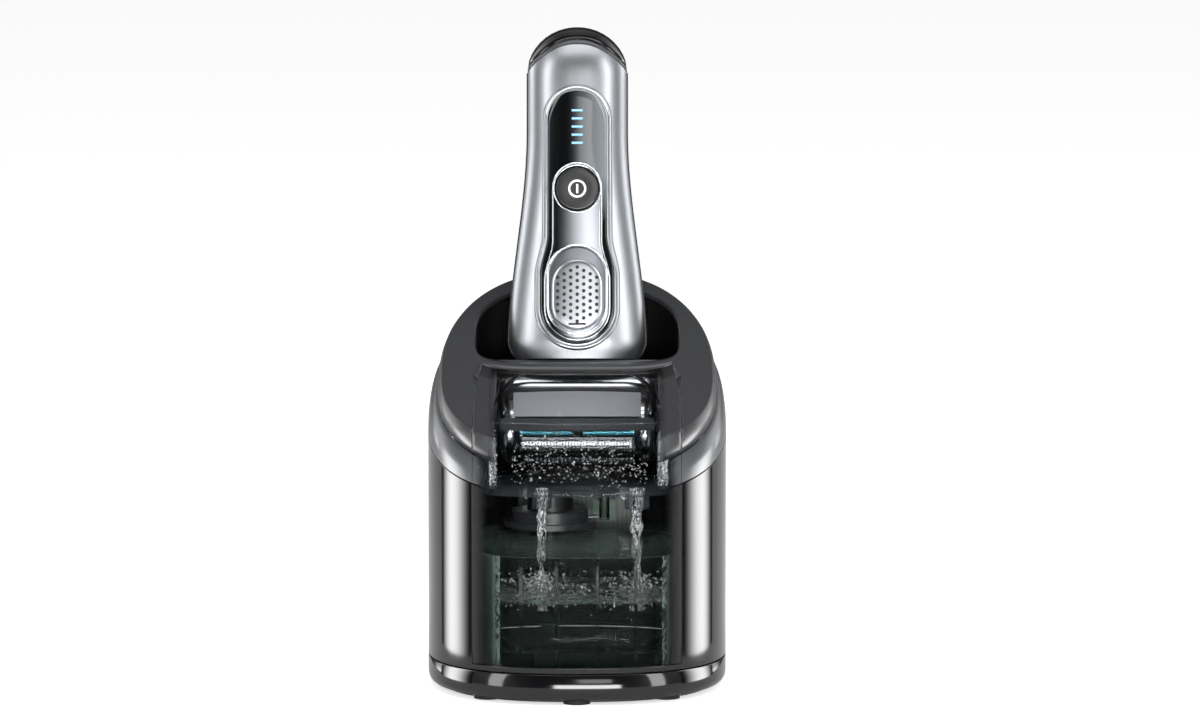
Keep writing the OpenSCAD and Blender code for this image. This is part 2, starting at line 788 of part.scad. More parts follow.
module lock_switch() {
    color("#b4b7ba") in_shaver() {
        front_prism(-front_d - 0.9, -front_d + 2.4) pill(lock_w, lock_low, lock_low + lock_l);
        front_prism(-front_d + 2.4, -front_d + 4.2) translate([-2, lock_low + 8]) square([4, 10]);
    }
}

frame_z0 = 18;
frame_z1 = handle_l - 24;
frame_w = 26;

module main_frame() {
    color("#6c7075") in_shaver() difference() {
        union() {
            translate([-frame_w / 2, -6.2, frame_z0]) cube([frame_w, 14, frame_z1 - frame_z0]);
            for (z = [frame_z0 + 6, frame_z1 - 14]) pair() translate([frame_w / 2 - 0.5, -2, z])
                cube([3.2, 4, 8]);
        }
        translate([-frame_w / 2 + 1.6, -4.6, frame_z0 + 3])
            cube([frame_w - 3.2, 20, frame_z1 - frame_z0 - 6]);
    }
}

battery_d = 14;
battery_l = 50;

module battery() {
    color("#4f8f5a") in_shaver() translate([0, -4.6 + battery_d / 2, 42]) {
        cylinder(d = battery_d, h = battery_l);
        translate([0, 0, battery_l]) cylinder(d = 5, h = 1);
    }
}

module main_pcb() {
    color("#215e3f") in_shaver() {
        translate([-12, -8, 24]) cube([24, 1.6, 86]);
        translate([-2.5, -9.4, button_at - 2.5]) cube([5, 1.4, 5]);
    }
}

contact_z = 20;

module charging_contacts() {
    y = back_y(handle_z) - 1.4;
    color("#d2b25a") in_shaver() for (x = [-5, 5]) translate([x, 0, 0]) {
        translate([0, y, contact_z]) rotate([-90, 0, 0]) cylinder(d = 2.6, h = 1.1);
    }
}

slider_w = 13;
slider_l = 22;
slider_z = 62;

module trimmer_slide() {
    y = back_d + 0.3;
    color("#2b2d30") in_shaver() {
        translate([-slider_w / 2, y, slider_z]) cube([slider_w, 2.2, slider_l]);
        for (k = [0:4]) translate([-slider_w / 2 + 2, y + 2.2, slider_z + 6 + 2.2 * k])
            cube([slider_w - 4, 0.7, 1]);
    }
}

module trimmer_blade() {
    y = back_d + 0.6;
    color("#c9ccd0") in_shaver() {
        translate([-slider_w / 2 + 0.5, y, slider_z - 4]) cube([slider_w - 1, 1, 4]);
        for (k = [0:11]) translate([-slider_w / 2 + 0.7 + k, y, slider_z - 5.2]) cube([0.5, 1, 1.2]);
    }
}

// ---- shaver: head ---------------------------------------------------------------------
module in_head() {
    in_shaver() rotate([-swing, 0, 0]) children();
}

arm_gap = 0.4;
arm_t = 2;
arm_r = 5;
arm_x = head_w / 2 + arm_gap;

module across(x0, x1) {
    translate([x0, 0, 0]) rotate([90, 0, 90]) linear_extrude(x1 - x0) children();
}

module head_yoke() {
    color("#222326") in_shaver() {
        difference() {
            union() {
                translate([-arm_x - arm_t, -8, head_r + 1])
                    cube([2 * (arm_x + arm_t), 16, handle_z - 0.3 - head_r - 1]);
                pair() across(arm_x, arm_x + arm_t) {
                    translate([-arm_r, 0]) square([2 * arm_r, handle_z - 0.3]);
                    circle(r = arm_r);
                }
            }
        }
        pair() across(arm_x - 2.2, arm_x) circle(d = pivot_d);
    }
}

head_wall = 2;
head_low = -9.6;

module head_side(r, low, foot) {
    intersection() {
        union() {
            circle(r = r);
            polygon([[-r, 0], [-foot, low], [foot, low], [r, 0]]);
        }
        translate([-2 * r, low]) square(4 * r);
    }
}

module head_housing() {
    color("#c9ccd0") in_head() difference() {
        across(-head_w / 2, head_w / 2) head_side(head_r, head_low, head_r + 1);
        across(-head_w / 2 + head_wall, head_w / 2 - head_wall)
            head_side(head_r - head_wall, head_low - 1, head_r + 1 - head_wall);
        across(-head_w, head_w) circle(d = pivot_d + 0.12);
        for (s = [-1, 1]) translate([s * head_w / 2 - 4, -4.4, -9.8]) cube([8, 8.8, 4.7]);
    }
}

module release_button(s) {
    in_head() translate([s * (head_w / 2 - 1.4) - 1.5, -4, -9.4]) cube([3, 8, 3.9]);
}

module release_left() { color("#8f9398") release_button(-1); }
module release_right() { color("#8f9398") release_button(1); }

module drive_motor() {
    color("#7d6a4a") in_head() {
        translate([-15, -6, -1]) cube([30, 12, 7.4]);
        for (s = [-1, 1]) translate([s * 19.5 - 3.5, -5, -1]) cube([7, 10, 5]);
        translate([-27, -7, -2.2]) cube([54, 14, 0.9]);
    }
}

stud_d = 2.4;
stud_fit = 0.08;

module drive_bridge() {
    color("#b9bdc1") in_head() {
        translate([-14, -foil_y - 2, -5.4]) cube([28, 2 * foil_y + 4, 1.8]);
        for (s = [-1, 1]) translate([0, s * foil_y, -12]) cylinder(d = stud_d, h = 7);
    }
}

foil_tip = -22;
arch_z = foil_tip + foil_r;
frame_low = -14.5;
slot_gap = 0.3;
frame_y = foil_y + foil_r + slot_gap + 0.9;

module cassette_frame() {
    color("#5b5f64") in_head() difference() {
        translate([-head_w / 2 + 1, -frame_y, frame_low])
            cube([head_w - 2, 2 * frame_y, head_low - 0.3 - frame_low]);
        for (s = [-1, 1])
            translate([-foil_l / 2 - slot_gap, s * foil_y - foil_r - slot_gap, frame_low - 1])
            cube([foil_l + 2 * slot_gap, 2 * foil_r + 2 * slot_gap, 8]);
        translate([-foil_l / 2 - slot_gap, -foil_y, frame_low - 1])
            cube([foil_l + 2 * slot_gap, 2 * foil_y, 8]);
    }
}

foil_t = 0.5;
leg_top = -11.2;

module foil(s) {
    color("#c4c8cc") in_head() across(-foil_l / 2, foil_l / 2) translate([s * foil_y, arch_z])
        difference() {
        union() {
            circle(r = foil_r);
            translate([-foil_r, 0]) square([2 * foil_r, leg_top - arch_z]);
        }
        circle(r = foil_r - foil_t);
        translate([-foil_r + foil_t, 0]) square([2 * (foil_r - foil_t), 20]);
    }
}

module foil_front() { foil(-1); }
module foil_rear() { foil(1); }

trimmer_w = 2 * (foil_y - foil_r) - 0.8;
tooth_pitch = 1.5;

module middle_trimmer() {
    color("#2f8ea0") in_head() difference() {
        translate([-foil_l / 2, -trimmer_w / 2, foil_tip + 0.6])
            cube([foil_l, trimmer_w, leg_top - foil_tip - 0.6]);
        for (x = [-foil_l / 2 + 1.5 : tooth_pitch : foil_l / 2 - 1.5])
            translate([x, -5, foil_tip - 1]) cube([0.6, 10, 3]);
    }
}

module cutter(s) {
    r = foil_r - foil_t - 0.35;
    stem = stud_d + 1.6;
    color("#9b9fa4") in_head() difference() {
        union() {
            across(-foil_l / 2 + 2, foil_l / 2 - 2) translate([s * foil_y, arch_z]) intersection() {
                circle(r = r);
                translate([-r, -r]) square([2 * r, r]);
            }
            translate([0, s * foil_y, arch_z - 1]) cylinder(d = stem, h = -7.6 - arch_z + 1);
        }
        translate([0, s * foil_y, arch_z + 0.8]) cylinder(d = stud_d + 2 * stud_fit, h = 20);
    }
}

module cutter_front() { cutter(-1); }
module cutter_rear() { cutter(1); }

feet();
base_plate();
base_tray();
guide_posts();
lift_springs();
cartridge_tub();
cartridge_lid();
cartridge_baffles();
cleaning_fluid();
lower_body();
collar();
deck();
front_window();
collar_window();
deck_window();
well_liner();
wash_bowl();
drain_spouts();
lift_sleeves();
pump_housing();
pump_impeller();
pump_motor();
suction_tube();
delivery_tube();
station_pcb();
station_contacts();
lift_button();
power_inlet();
pcb_screws();
front_shell();
rear_shell();
end_band();
end_cap();
inlay_rim();
inlay();
charge_bars();
button_ring();
power_button();
power_symbol();
lock_bezel();
lock_switch();
main_frame();
battery();
main_pcb();
charging_contacts();
trimmer_slide();
trimmer_blade();
head_yoke();
head_housing();
drive_motor();
drive_bridge();
cassette_frame();
foil_front();
foil_rear();
middle_trimmer();
cutter_front();
cutter_rear();
release_left();
release_right();
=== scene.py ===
import random
from math import acos, atan, cos, pi, radians, sin, sqrt

import bmesh
import bpy
from mathutils import Matrix, Vector


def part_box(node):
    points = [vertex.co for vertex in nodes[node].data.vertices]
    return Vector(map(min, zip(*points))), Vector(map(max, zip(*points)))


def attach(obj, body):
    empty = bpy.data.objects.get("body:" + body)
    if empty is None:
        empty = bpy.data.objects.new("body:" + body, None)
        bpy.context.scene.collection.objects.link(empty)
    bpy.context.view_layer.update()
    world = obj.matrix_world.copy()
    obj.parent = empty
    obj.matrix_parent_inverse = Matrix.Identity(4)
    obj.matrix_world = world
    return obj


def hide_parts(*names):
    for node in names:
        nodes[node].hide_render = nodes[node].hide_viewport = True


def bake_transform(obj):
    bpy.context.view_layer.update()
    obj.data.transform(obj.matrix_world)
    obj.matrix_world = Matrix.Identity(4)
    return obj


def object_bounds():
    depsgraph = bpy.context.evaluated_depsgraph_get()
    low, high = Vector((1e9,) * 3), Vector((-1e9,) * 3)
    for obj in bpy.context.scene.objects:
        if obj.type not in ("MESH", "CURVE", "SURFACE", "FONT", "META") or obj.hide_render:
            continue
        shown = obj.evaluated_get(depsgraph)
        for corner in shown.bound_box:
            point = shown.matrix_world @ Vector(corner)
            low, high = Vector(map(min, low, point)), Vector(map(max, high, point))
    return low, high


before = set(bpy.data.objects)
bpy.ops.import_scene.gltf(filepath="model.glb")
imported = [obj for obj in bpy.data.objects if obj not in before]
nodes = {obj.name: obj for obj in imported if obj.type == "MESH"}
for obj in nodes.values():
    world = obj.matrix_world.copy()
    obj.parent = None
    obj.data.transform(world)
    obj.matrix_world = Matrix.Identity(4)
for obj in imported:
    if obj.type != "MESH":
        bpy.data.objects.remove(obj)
cad_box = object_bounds()
scene = bpy.context.scene
MM = 0.001

# ---------------------------------------------------------------- camera and studio
# A long lens looks at the station's front, a little from above, as a catalogue picture does.
# The object stands a little left of the frame's middle.
low, high = (Vector(c) for c in cad_box)
look_at = Vector((0.0084, 0, 0.5 * high.z + 0.0002))
view_tilt = radians(7)
view_distance = 3.0
view_width = 0.4404
camera = bpy.data.objects.new("camera", bpy.data.cameras.new("camera"))
scene.collection.objects.link(camera)
camera.location = look_at + view_distance * Vector((0, -cos(view_tilt), sin(view_tilt)))
camera.rotation_euler = (pi / 2 - view_tilt, 0, 0)
camera.data.sensor_width = 36
camera.data.lens = 36 * view_distance / view_width
camera.data.clip_end = 30
scene.camera = camera
scene.view_settings.view_transform = "Standard"


def colour(code, alpha=1.0):
    """An sRGB hex colour as linear values."""
    parts = [int(code[i:i + 2], 16) / 255 for i in (1, 3, 5)]
    return tuple(c / 12.92 if c <= 0.04045 else ((c + 0.055) / 1.055) ** 2.4 for c in parts) + (alpha,)


def add(tree, kind, settings=None, **links):
    """Adds one node. Settings name its fields or input sockets; links name input sockets by number."""
    made = tree.nodes.new(kind)
    for name, value in (settings or {}).items():
        if isinstance(name, int):
            made.inputs[name].default_value = value
        elif hasattr(made, name):
            setattr(made, name, value)
        else:
            made.inputs[name].default_value = value
    for name, source in links.items():
        place = int(name[1:]) if name[0] == "n" and name[1:].isdigit() else name.replace("_", " ")
        tree.links.new(source, made.inputs[place])
    return made


# The backdrop and floor are white to the camera and to what mirrors them, and grey to the light
# that they send back, so the object keeps its shadow and is not washed out.
world = bpy.data.worlds.new("studio")
scene.world = world
world.use_nodes = True
sky = world.node_tree
sky.nodes.clear()
rays = add(sky, "ShaderNodeLightPath")
seen = add(sky, "ShaderNodeMath", {"operation": "MAXIMUM"},
           n0=rays.outputs["Is Camera Ray"], n1=rays.outputs["Is Transmission Ray"])
where = add(sky, "ShaderNodeTexCoord")
split = add(sky, "ShaderNodeSeparateXYZ", n0=where.outputs["Generated"])
side = add(sky, "ShaderNodeMath", {"operation": "ABSOLUTE"}, n0=split.outputs[0])
mirror_band = add(sky, "ShaderNodeValToRGB", n0=side.outputs[0])
bands = mirror_band.color_ramp
for place, level in ((0.30, 0.10), (0.52, 0.30), (0.70, 0.85), (0.86, 0.95)):
    stop = bands.elements.new(place)
    stop.color = (level, level, level, 1)
bands.elements[0].color = (0.16, 0.16, 0.16, 1)
bands.elements[-1].color = (0.55, 0.55, 0.55, 1)
# two tall white cards stand behind the object, to its left and right, and edge it with light
near_edge = add(sky, "ShaderNodeMapRange", {"From Min": 0.28, "From Max": 0.42, "interpolation_type": "SMOOTHSTEP"},
                Value=split.outputs[1])
far_edge = add(sky, "ShaderNodeMapRange", {"From Min": 0.86, "From Max": 0.72, "interpolation_type": "SMOOTHSTEP"},
               Value=split.outputs[1])
card = add(sky, "ShaderNodeMath", {"operation": "MULTIPLY"}, n0=near_edge.outputs[0], n1=far_edge.outputs[0])
low_down = add(sky, "ShaderNodeMapRange", {"From Min": 0.1, "From Max": -0.03, "To Min": 0.28, "To Max": 1.0},
               Value=split.outputs[2])
card_low = add(sky, "ShaderNodeMath", {"operation": "MULTIPLY"}, n0=card.outputs[0], n1=low_down.outputs[0])
card_light = add(sky, "ShaderNodeMapRange", {"To Min": 0.5, "To Max": 8.0}, Value=card_low.outputs[0])
glossy = add(sky, "ShaderNodeBackground", Color=mirror_band.outputs[0], Strength=card_light.outputs[0])
white = add(sky, "ShaderNodeBackground", {"Color": (1, 1, 1, 1), "Strength": 1.0})
grey = add(sky, "ShaderNodeBackground", {"Color": (1, 1, 1, 1), "Strength": 0.35})
lit = add(sky, "ShaderNodeMixShader", n0=rays.outputs["Is Glossy Ray"], n1=grey.outputs[0], n2=glossy.outputs[0])
both = add(sky, "ShaderNodeMixShader", n0=seen.outputs[0], n1=lit.outputs[0], n2=white.outputs[0])
add(sky, "ShaderNodeOutputWorld", n0=both.outputs[0])


def lamp(name, place, size, watts, aim=(0, 0, 0.12)):
    """A soft rectangular lamp turned towards the object."""
    data = bpy.data.lights.new(name, "AREA")
    data.shape = "RECTANGLE"
    data.size, data.size_y = size
    data.energy = watts
    made = bpy.data.objects.new(name, data)
    scene.collection.objects.link(made)
    made.location = place
    made.rotation_euler = (Vector(aim) - Vector(place)).to_track_quat("-Z", "Y").to_euler()


lamp("strip_left", (-1.05, -0.75, 0.45), (0.34, 1.5), 9)
lamp("strip_right", (1.05, -0.75, 0.45), (0.34, 1.5), 10)
lamp("low_fill", (0.1, -0.9, 0.03), (0.5, 0.25), 7, (0, 0, 0.09))
lamp("top", (0.1, -0.35, 1.5), (1.3, 0.8), 9)
lamp("front", (0.35, -2.4, 0.9), (0.7, 0.5), 4)

floor_mesh = bpy.data.meshes.new("floor")
plane = bmesh.new()
bmesh.ops.create_grid(plane, x_segments=1, y_segments=1, size=6)
plane.to_mesh(floor_mesh)
plane.free()
floor = bpy.data.objects.new("floor", floor_mesh)
scene.collection.objects.link(floor)
paper = bpy.data.materials.new("paper_floor")
paper.use_nodes = True
sheet_tree = paper.node_tree
sheet_tree.nodes.clear()
floor_rays = add(sheet_tree, "ShaderNodeLightPath")
matt = add(sheet_tree, "ShaderNodeBsdfDiffuse", {"Color": colour("#f2f2f2")})
glow = add(sheet_tree, "ShaderNodeEmission", {"Color": (1, 1, 1, 1), "Strength": 0.62})
blank = add(sheet_tree, "ShaderNodeEmission", {"Color": (0, 0, 0, 1), "Strength": 0})
for_view = add(sheet_tree, "ShaderNodeMixShader", n0=floor_rays.outputs["Is Camera Ray"],
               n1=blank.outputs[0], n2=glow.outputs[0])
summed = add(sheet_tree, "ShaderNodeAddShader", n0=matt.outputs[0], n1=for_view.outputs[0])
add(sheet_tree, "ShaderNodeOutputMaterial", n0=summed.outputs[0])
floor_mesh.materials.append(paper)

# two low cards stand beside the base, out of the camera's sight, and draw the tall highlights on
# its polished walls; they fade towards their upright edges
card_glow = bpy.data.materials.new("card_glow")
card_glow.use_nodes = True
tree = card_glow.node_tree
tree.nodes.clear()
place = add(tree, "ShaderNodeTexCoord")
parts = add(tree, "ShaderNodeSeparateXYZ", n0=place.outputs["Object"])
from_middle = add(tree, "ShaderNodeMath", {"operation": "SUBTRACT", 1: -0.008}, n0=parts.outputs[1])
off = add(tree, "ShaderNodeMath", {"operation": "ABSOLUTE"}, n0=from_middle.outputs[0])
fade = add(tree, "ShaderNodeMapRange", {"From Min": 0.045, "From Max": 0.003, "To Min": 0.0, "To Max": 11.0,
           "interpolation_type": "SMOOTHSTEP"}, Value=off.outputs[0])
glow = add(tree, "ShaderNodeEmission", Strength=fade.outputs[0])
add(tree, "ShaderNodeOutputMaterial", n0=glow.outputs[0])
for name, side_x in (("card_left", -0.13), ("card_right", 0.13)):
    sheet = bmesh.new()
    for vert in bmesh.ops.create_grid(sheet, x_segments=1, y_segments=1, size=0.5)["verts"]:
        vert.co = (side_x, -0.008 + vert.co.x * 0.1, 0.052 + vert.co.y * 0.1)
    mesh = bpy.data.meshes.new(name)
    sheet.to_mesh(mesh)
    sheet.free()
    mesh.materials.append(card_glow)
    made = bpy.data.objects.new(name, mesh)
    scene.collection.objects.link(made)
    made.visible_camera = made.visible_diffuse = made.visible_shadow = made.visible_transmission = False


# ---------------------------------------------------------------- finishes shared by the covers
# Moulded ABS: polished black on the body, satin greys above it. A fine grain and a slow wave in the
# surface give the slightly uneven highlight that a moulding has; roughness varies with handling.
def plastic(name, base, roughness, grain=0.0, coat=0.0, wave=0.04):
    made = bpy.data.materials.new(name)
    made.use_nodes = True
    tree = made.node_tree
    shader = tree.nodes["Principled BSDF"]
    shader.inputs["Base Color"].default_value = colour(base)
    shader.inputs["IOR"].default_value = 1.55
    shader.inputs["Coat Weight"].default_value = coat
    shader.inputs["Coat Roughness"].default_value = 0.05
    place = add(tree, "ShaderNodeTexCoord")
    smudge = add(tree, "ShaderNodeTexNoise", {"Scale": 60.0, "Detail": 4.0}, Vector=place.outputs["Object"])
    spread = add(tree, "ShaderNodeMapRange", {"To Min": roughness * 0.85, "To Max": roughness * 1.25},
                 Value=smudge.outputs["Fac"])
    tree.links.new(spread.outputs[0], shader.inputs["Roughness"])
    mottle = add(tree, "ShaderNodeMixRGB", {"Color1": colour(base), "Color2": colour(base)}, Fac=smudge.outputs["Fac"])
    mottle.inputs["Color2"].default_value = tuple(c * 1.18 for c in colour(base)[:3]) + (1,)
    tree.links.new(mottle.outputs[0], shader.inputs["Base Color"])
    slow = add(tree, "ShaderNodeTexNoise", {"Scale": 18.0, "Detail": 1.0}, Vector=place.outputs["Object"])
    swell = add(tree, "ShaderNodeBump", {"Strength": wave, "Distance": 0.002}, Height=slow.outputs["Fac"])
    if grain:
        # spark-eroded grain is near 0.1 mm; it is drawn at 0.4 mm so that it shows
        fine = add(tree, "ShaderNodeTexNoise", {"Scale": 2500.0, "Detail": 2.0}, Vector=place.outputs["Object"])
        rough = add(tree, "ShaderNodeBump", {"Strength": grain, "Distance": 0.00005},
                    Height=fine.outputs["Fac"], Normal=swell.outputs[0])
        tree.links.new(rough.outputs[0], shader.inputs["Normal"])
    else:
        tree.links.new(swell.outputs[0], shader.inputs["Normal"])
    return made


def finish_piece(name, mesh_edit, material, body, slot, *replaced, wall=0.0, edge=0.0, smooth=True):
    """Turns an edited bmesh into a piece on a body, or on none yet. A wall thickens it inwards."""
    bmesh.ops.remove_doubles(mesh_edit, verts=mesh_edit.verts, dist=1e-6)
    bmesh.ops.recalc_face_normals(mesh_edit, faces=mesh_edit.faces)
    mesh = bpy.data.meshes.new(name)
    mesh_edit.to_mesh(mesh)
    mesh_edit.free()
    made = bpy.data.objects.new(name, mesh)
    scene.collection.objects.link(made)
    mesh.materials.append(material)
    if smooth:
        mesh.polygons.foreach_set("use_smooth", [True] * len(mesh.polygons))
    if wall:
        thick = made.modifiers.new("wall", "SOLIDIFY")
        thick.thickness = wall
        thick.offset = -1
        thick.use_even_offset = True
    if edge:
        rounded = made.modifiers.new("edge", "BEVEL")
        rounded.width = edge
        rounded.segments = 2
        rounded.limit_method = "ANGLE"
        rounded.angle_limit = radians(40)
        rounded.harden_normals = True
    if body:
        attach(made, body)
    if replaced:
        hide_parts(*replaced)
    return made


def dress(name, material):
    """Gives a CAD node its finish."""
    nodes[name].data.materials.clear()
    nodes[name].data.materials.append(material)


def hoop(mesh_edit, count, place):
    """One closed ring of points, put where place(angle) says, and its edges."""
    made = bmesh.ops.create_circle(mesh_edit, segments=count, radius=1)["verts"]
    for k, vert in enumerate(made):
        vert.co = place(2 * pi * k / count)
    return list({e for v in made for e in v.link_edges})


def bridge(mesh_edit, hoops):
    for lower, upper in zip(hoops, hoops[1:]):
        bmesh.ops.bridge_loops(mesh_edit, edges=lower + upper)


def power(value, exponent):
    return (1 if value > 0 else -1 if value < 0 else 0) * abs(value) ** exponent


def oval(a, b, n, angle):
    """A point of a squarish oval, in millimetres."""
    return a * power(cos(angle), 2 / n), b * power(sin(angle), 2 / n)


def smooth(t):
    t = max(0, min(1, t))
    return t * t * (3 - 2 * t)


# ---------------------------------------------------------------- base plinth and feet
# The fixed foot of the station: a polished black ABS tray with a rounded bottom edge. It stands on
# rubber feet, and the housing above it leaves a thin dark joint.
body_low, body_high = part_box("lower_body")
half_w, half_d = body_high.x / MM, body_high.y / MM
station_n = 2.4
tray_low, tray_high = (c.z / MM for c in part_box("base_tray"))
gloss_black = plastic("polished_black_abs", "#08080a", 0.09, wave=0.012)
matt_black = plastic("matt_black_abs", "#131416", 0.5, grain=0.25)
rubber = plastic("foot_rubber", "#1a1b1c", 0.8, grain=0.4)

tray = bmesh.new()
tray_round = 3.2
profile = [(4.5, tray_low + 2.4), (4.5, tray_low)]
profile += [(tray_round * (1 - sin(f)) , tray_low + tray_round * (1 - cos(f)))
            for f in (radians(12 * k) for k in range(1, 8))]
profile += [(0, tray_low + tray_round), (0, tray_high - 0.35), (0.35, tray_high), (3.2, tray_high), (3.2, tray_low + 1.4)]
rows = []
for inset, z in profile:
    rows.append(hoop(tray, 160, lambda f, i=inset, h=z: Vector(
        (*oval(half_w - i, half_d - i, station_n, f), h)) * MM))
bridge(tray, rows)
bmesh.ops.contextual_create(tray, geom=rows[-1])
bmesh.ops.contextual_create(tray, geom=rows[0])
finish_piece("plinth", tray, gloss_black, "base", "station_black", "base_tray")
dress("feet", rubber)
dress("base_plate", matt_black)

# ---------------------------------------------------------------- housing wall and its window
# One polished black moulding, cut off obliquely under the collar. Its front is smoked clear
# polycarbonate, let in flush, through which the wash bowl and the cartridge show.
wall_t = 2.2
seam_gap = 0.4
seam_z, seam_slope = 95, 0.325
groove_z, groove_slope = seam_z + 0.68 * 20, 0.445
deck_z, deck_slope, deck_curl = seam_z + 20, 0.485, 0.002
window_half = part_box("front_window")[1].x / MM + 0.15
pane_half = window_half - 0.15
window_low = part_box("front_window")[0].z / MM - 0.15
body_z = body_low.z / MM


def seam_at(y):
    return seam_z + seam_slope * y


def groove_at(y):
    return groove_z + groove_slope * y


def deck_at(y):
    return deck_z + deck_slope * y + deck_curl * y * y


def fading_glass(name, edge_base, edge_roughness, clear_from, clear_to, tint, see, shut=None):
    """Smoked clear plastic painted on its sides; the paint fades out with |x|, and again behind y = shut."""
    made = bpy.data.materials.new(name)
    made.use_nodes = True
    tree = made.node_tree
    shader = tree.nodes["Principled BSDF"]
    shader.inputs["IOR"].default_value = 1.55
    place = add(tree, "ShaderNodeTexCoord")
    parts = add(tree, "ShaderNodeSeparateXYZ", n0=place.outputs["Object"])
    reach = add(tree, "ShaderNodeMath", {"operation": "ABSOLUTE"}, n0=parts.outputs[0])
    paint = add(tree, "ShaderNodeMapRange", {"From Min": clear_to * MM, "From Max": clear_from * MM,
                "To Min": 0.0, "To Max": 1.0, "interpolation_type": "SMOOTHSTEP"}, Value=reach.outputs[0])
    shade = add(tree, "ShaderNodeMixRGB", {"Color1": colour(tint), "Color2": colour(edge_base)},
                Fac=paint.outputs[0])
    if shut is not None:
        behind = add(tree, "ShaderNodeMapRange", {"From Min": (shut - 9) * MM, "From Max": shut * MM,
                     "interpolation_type": "SMOOTHSTEP"}, Value=parts.outputs[1])
        paint = add(tree, "ShaderNodeMath", {"operation": "MAXIMUM"}, n0=paint.outputs[0], n1=behind.outputs[0])
    cover = add(tree, "ShaderNodeMapRange", {"To Min": see, "To Max": 1.0}, Value=paint.outputs[0])
    rough = add(tree, "ShaderNodeMapRange", {"To Min": 0.03, "To Max": edge_roughness}, Value=paint.outputs[0])
    tree.links.new(shade.outputs[0], shader.inputs["Base Color"])
    tree.links.new(cover.outputs[0], shader.inputs["Alpha"])
    tree.links.new(rough.outputs[0], shader.inputs["Roughness"])
    return made


def split_window(mesh_edit, half, z_low, keep_front):
    """Cuts a ring along the window's two sides and its sill, and keeps the pane or the rest."""
    for side_x in (-half, half):
        bmesh.ops.bisect_plane(mesh_edit, geom=mesh_edit.verts[:] + mesh_edit.edges[:] + mesh_edit.faces[:],
                               plane_co=(side_x * MM, 0, 0), plane_no=(1, 0, 0))
    if z_low is not None:
        bmesh.ops.bisect_plane(mesh_edit, geom=mesh_edit.verts[:] + mesh_edit.edges[:] + mesh_edit.faces[:],
                               plane_co=(0, 0, z_low * MM), plane_no=(0, 0, 1))

    def is_pane(face):
        c = face.calc_center_median() / MM
        return abs(c.x) < half and c.y < 0 and (z_low is None or c.z > z_low)

    gone = [f for f in mesh_edit.faces if is_pane(f) != keep_front]
    bmesh.ops.delete(mesh_edit, geom=gone, context="FACES")


def wall_ring(keep_front, half, sill):
    edited = bmesh.new()
    steps = [0, 0.15, 0.5, 1]
    stack = []
    for t in steps:
        def place(f, t=t):
            x, y = oval(half_w, half_d, station_n, f)
            return Vector((x, y, body_z + (seam_at(y) - seam_gap / 2 - body_z) * t)) * MM
        stack.append(hoop(edited, 192, place))
    bridge(edited, stack)
    split_window(edited, half, sill, keep_front)
    return edited


# the rear wall is open round the lift button and round the supply inlet
back_wall = wall_ring(False, window_half, window_low)
for opening in ("lift_button", "power_inlet"):
    lowest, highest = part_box(opening)
    spare = Vector((0.3, 0, 0.3)) * MM
    lowest, highest = lowest - spare, highest + spare
    for spot, across in ((lowest, (1, 0, 0)), (highest, (1, 0, 0)), (lowest, (0, 0, 1)), (highest, (0, 0, 1))):
        rear = [f for f in back_wall.faces if f.calc_center_median().y > 0]
        parts = set(rear) | {e for f in rear for e in f.edges} | {v for f in rear for v in f.verts}
        bmesh.ops.bisect_plane(back_wall, geom=list(parts), plane_co=spot, plane_no=across)
    gone = [f for f in back_wall.faces if (c := f.calc_center_median()).y > 0
            and lowest.x < c.x < highest.x and lowest.z < c.z < highest.z]
    bmesh.ops.delete(back_wall, geom=gone, context="FACES")
finish_piece("housing_wall", back_wall, gloss_black, "housing",
             "station_black", "lower_body", wall=wall_t * MM, edge=0.35 * MM)
smoked = fading_glass("smoked_polycarbonate", "#08080a", 0.07, 37.6, 32.0, "#050608", 0.03)
finish_piece("housing_window", wall_ring(True, pane_half, window_low + 0.15), smoked, "housing",
             "smoked_window", "front_window", wall=wall_t * MM, edge=0.2 * MM)

# ---------------------------------------------------------------- collar
# The domed shoulder ring between the body and the deck: satin dark grey, with a darker window part
# at the front that carries the smoked pane on upwards.
collar_in = 3.5
satin_grey = plastic("satin_grey_abs", "#3c3e42", 0.3, grain=0.06, coat=0.3, wave=0.02)


def collar_ring(keep_front, half):
    edited = bmesh.new()
    stack = []
    for t in (0, 0.12, 0.25, 0.4, 0.55, 0.7, 0.82, 0.91, 0.97, 1):
        def place(f, t=t):
            inset = collar_in * (1 - sqrt(1 - t * t))
            x, y = oval(half_w - inset, half_d - inset, station_n, f)
            return Vector((x, y, seam_at(y) + seam_gap / 2 + (groove_at(y) - seam_at(y) - seam_gap) * t)) * MM
        stack.append(hoop(edited, 192, place))
    bridge(edited, stack)
    split_window(edited, half, None, keep_front)
    return edited


finish_piece("collar_cover", collar_ring(False, window_half), satin_grey, "housing", "collar_grey",
             "collar", wall=wall_t * MM, edge=0.3 * MM)
collar_glass = fading_glass("smoked_collar", "#3f4145", 0.3, 37.4, 32.0, "#050608", 0.02)
finish_piece("collar_pane", collar_ring(True, pane_half), collar_glass, "housing", "smoked_window",
             "collar_window", wall=wall_t * MM, edge=0.2 * MM)

# ---------------------------------------------------------------- deck and well
# The deck slopes up to the back like an armchair. Its edge band turns over in a soft bend, and the
# well in it, which takes the shaver, is straight at the front and round at the back.
deck_in = 5.3
well_low, well_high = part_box("well_liner")
well_half, well_y, well_d, rim_y = 37.7, 22, 24.5, 6
deck_grey = plastic("charcoal_abs", "#242528", 0.34, grain=0.08, coat=0.2, wave=0.02)


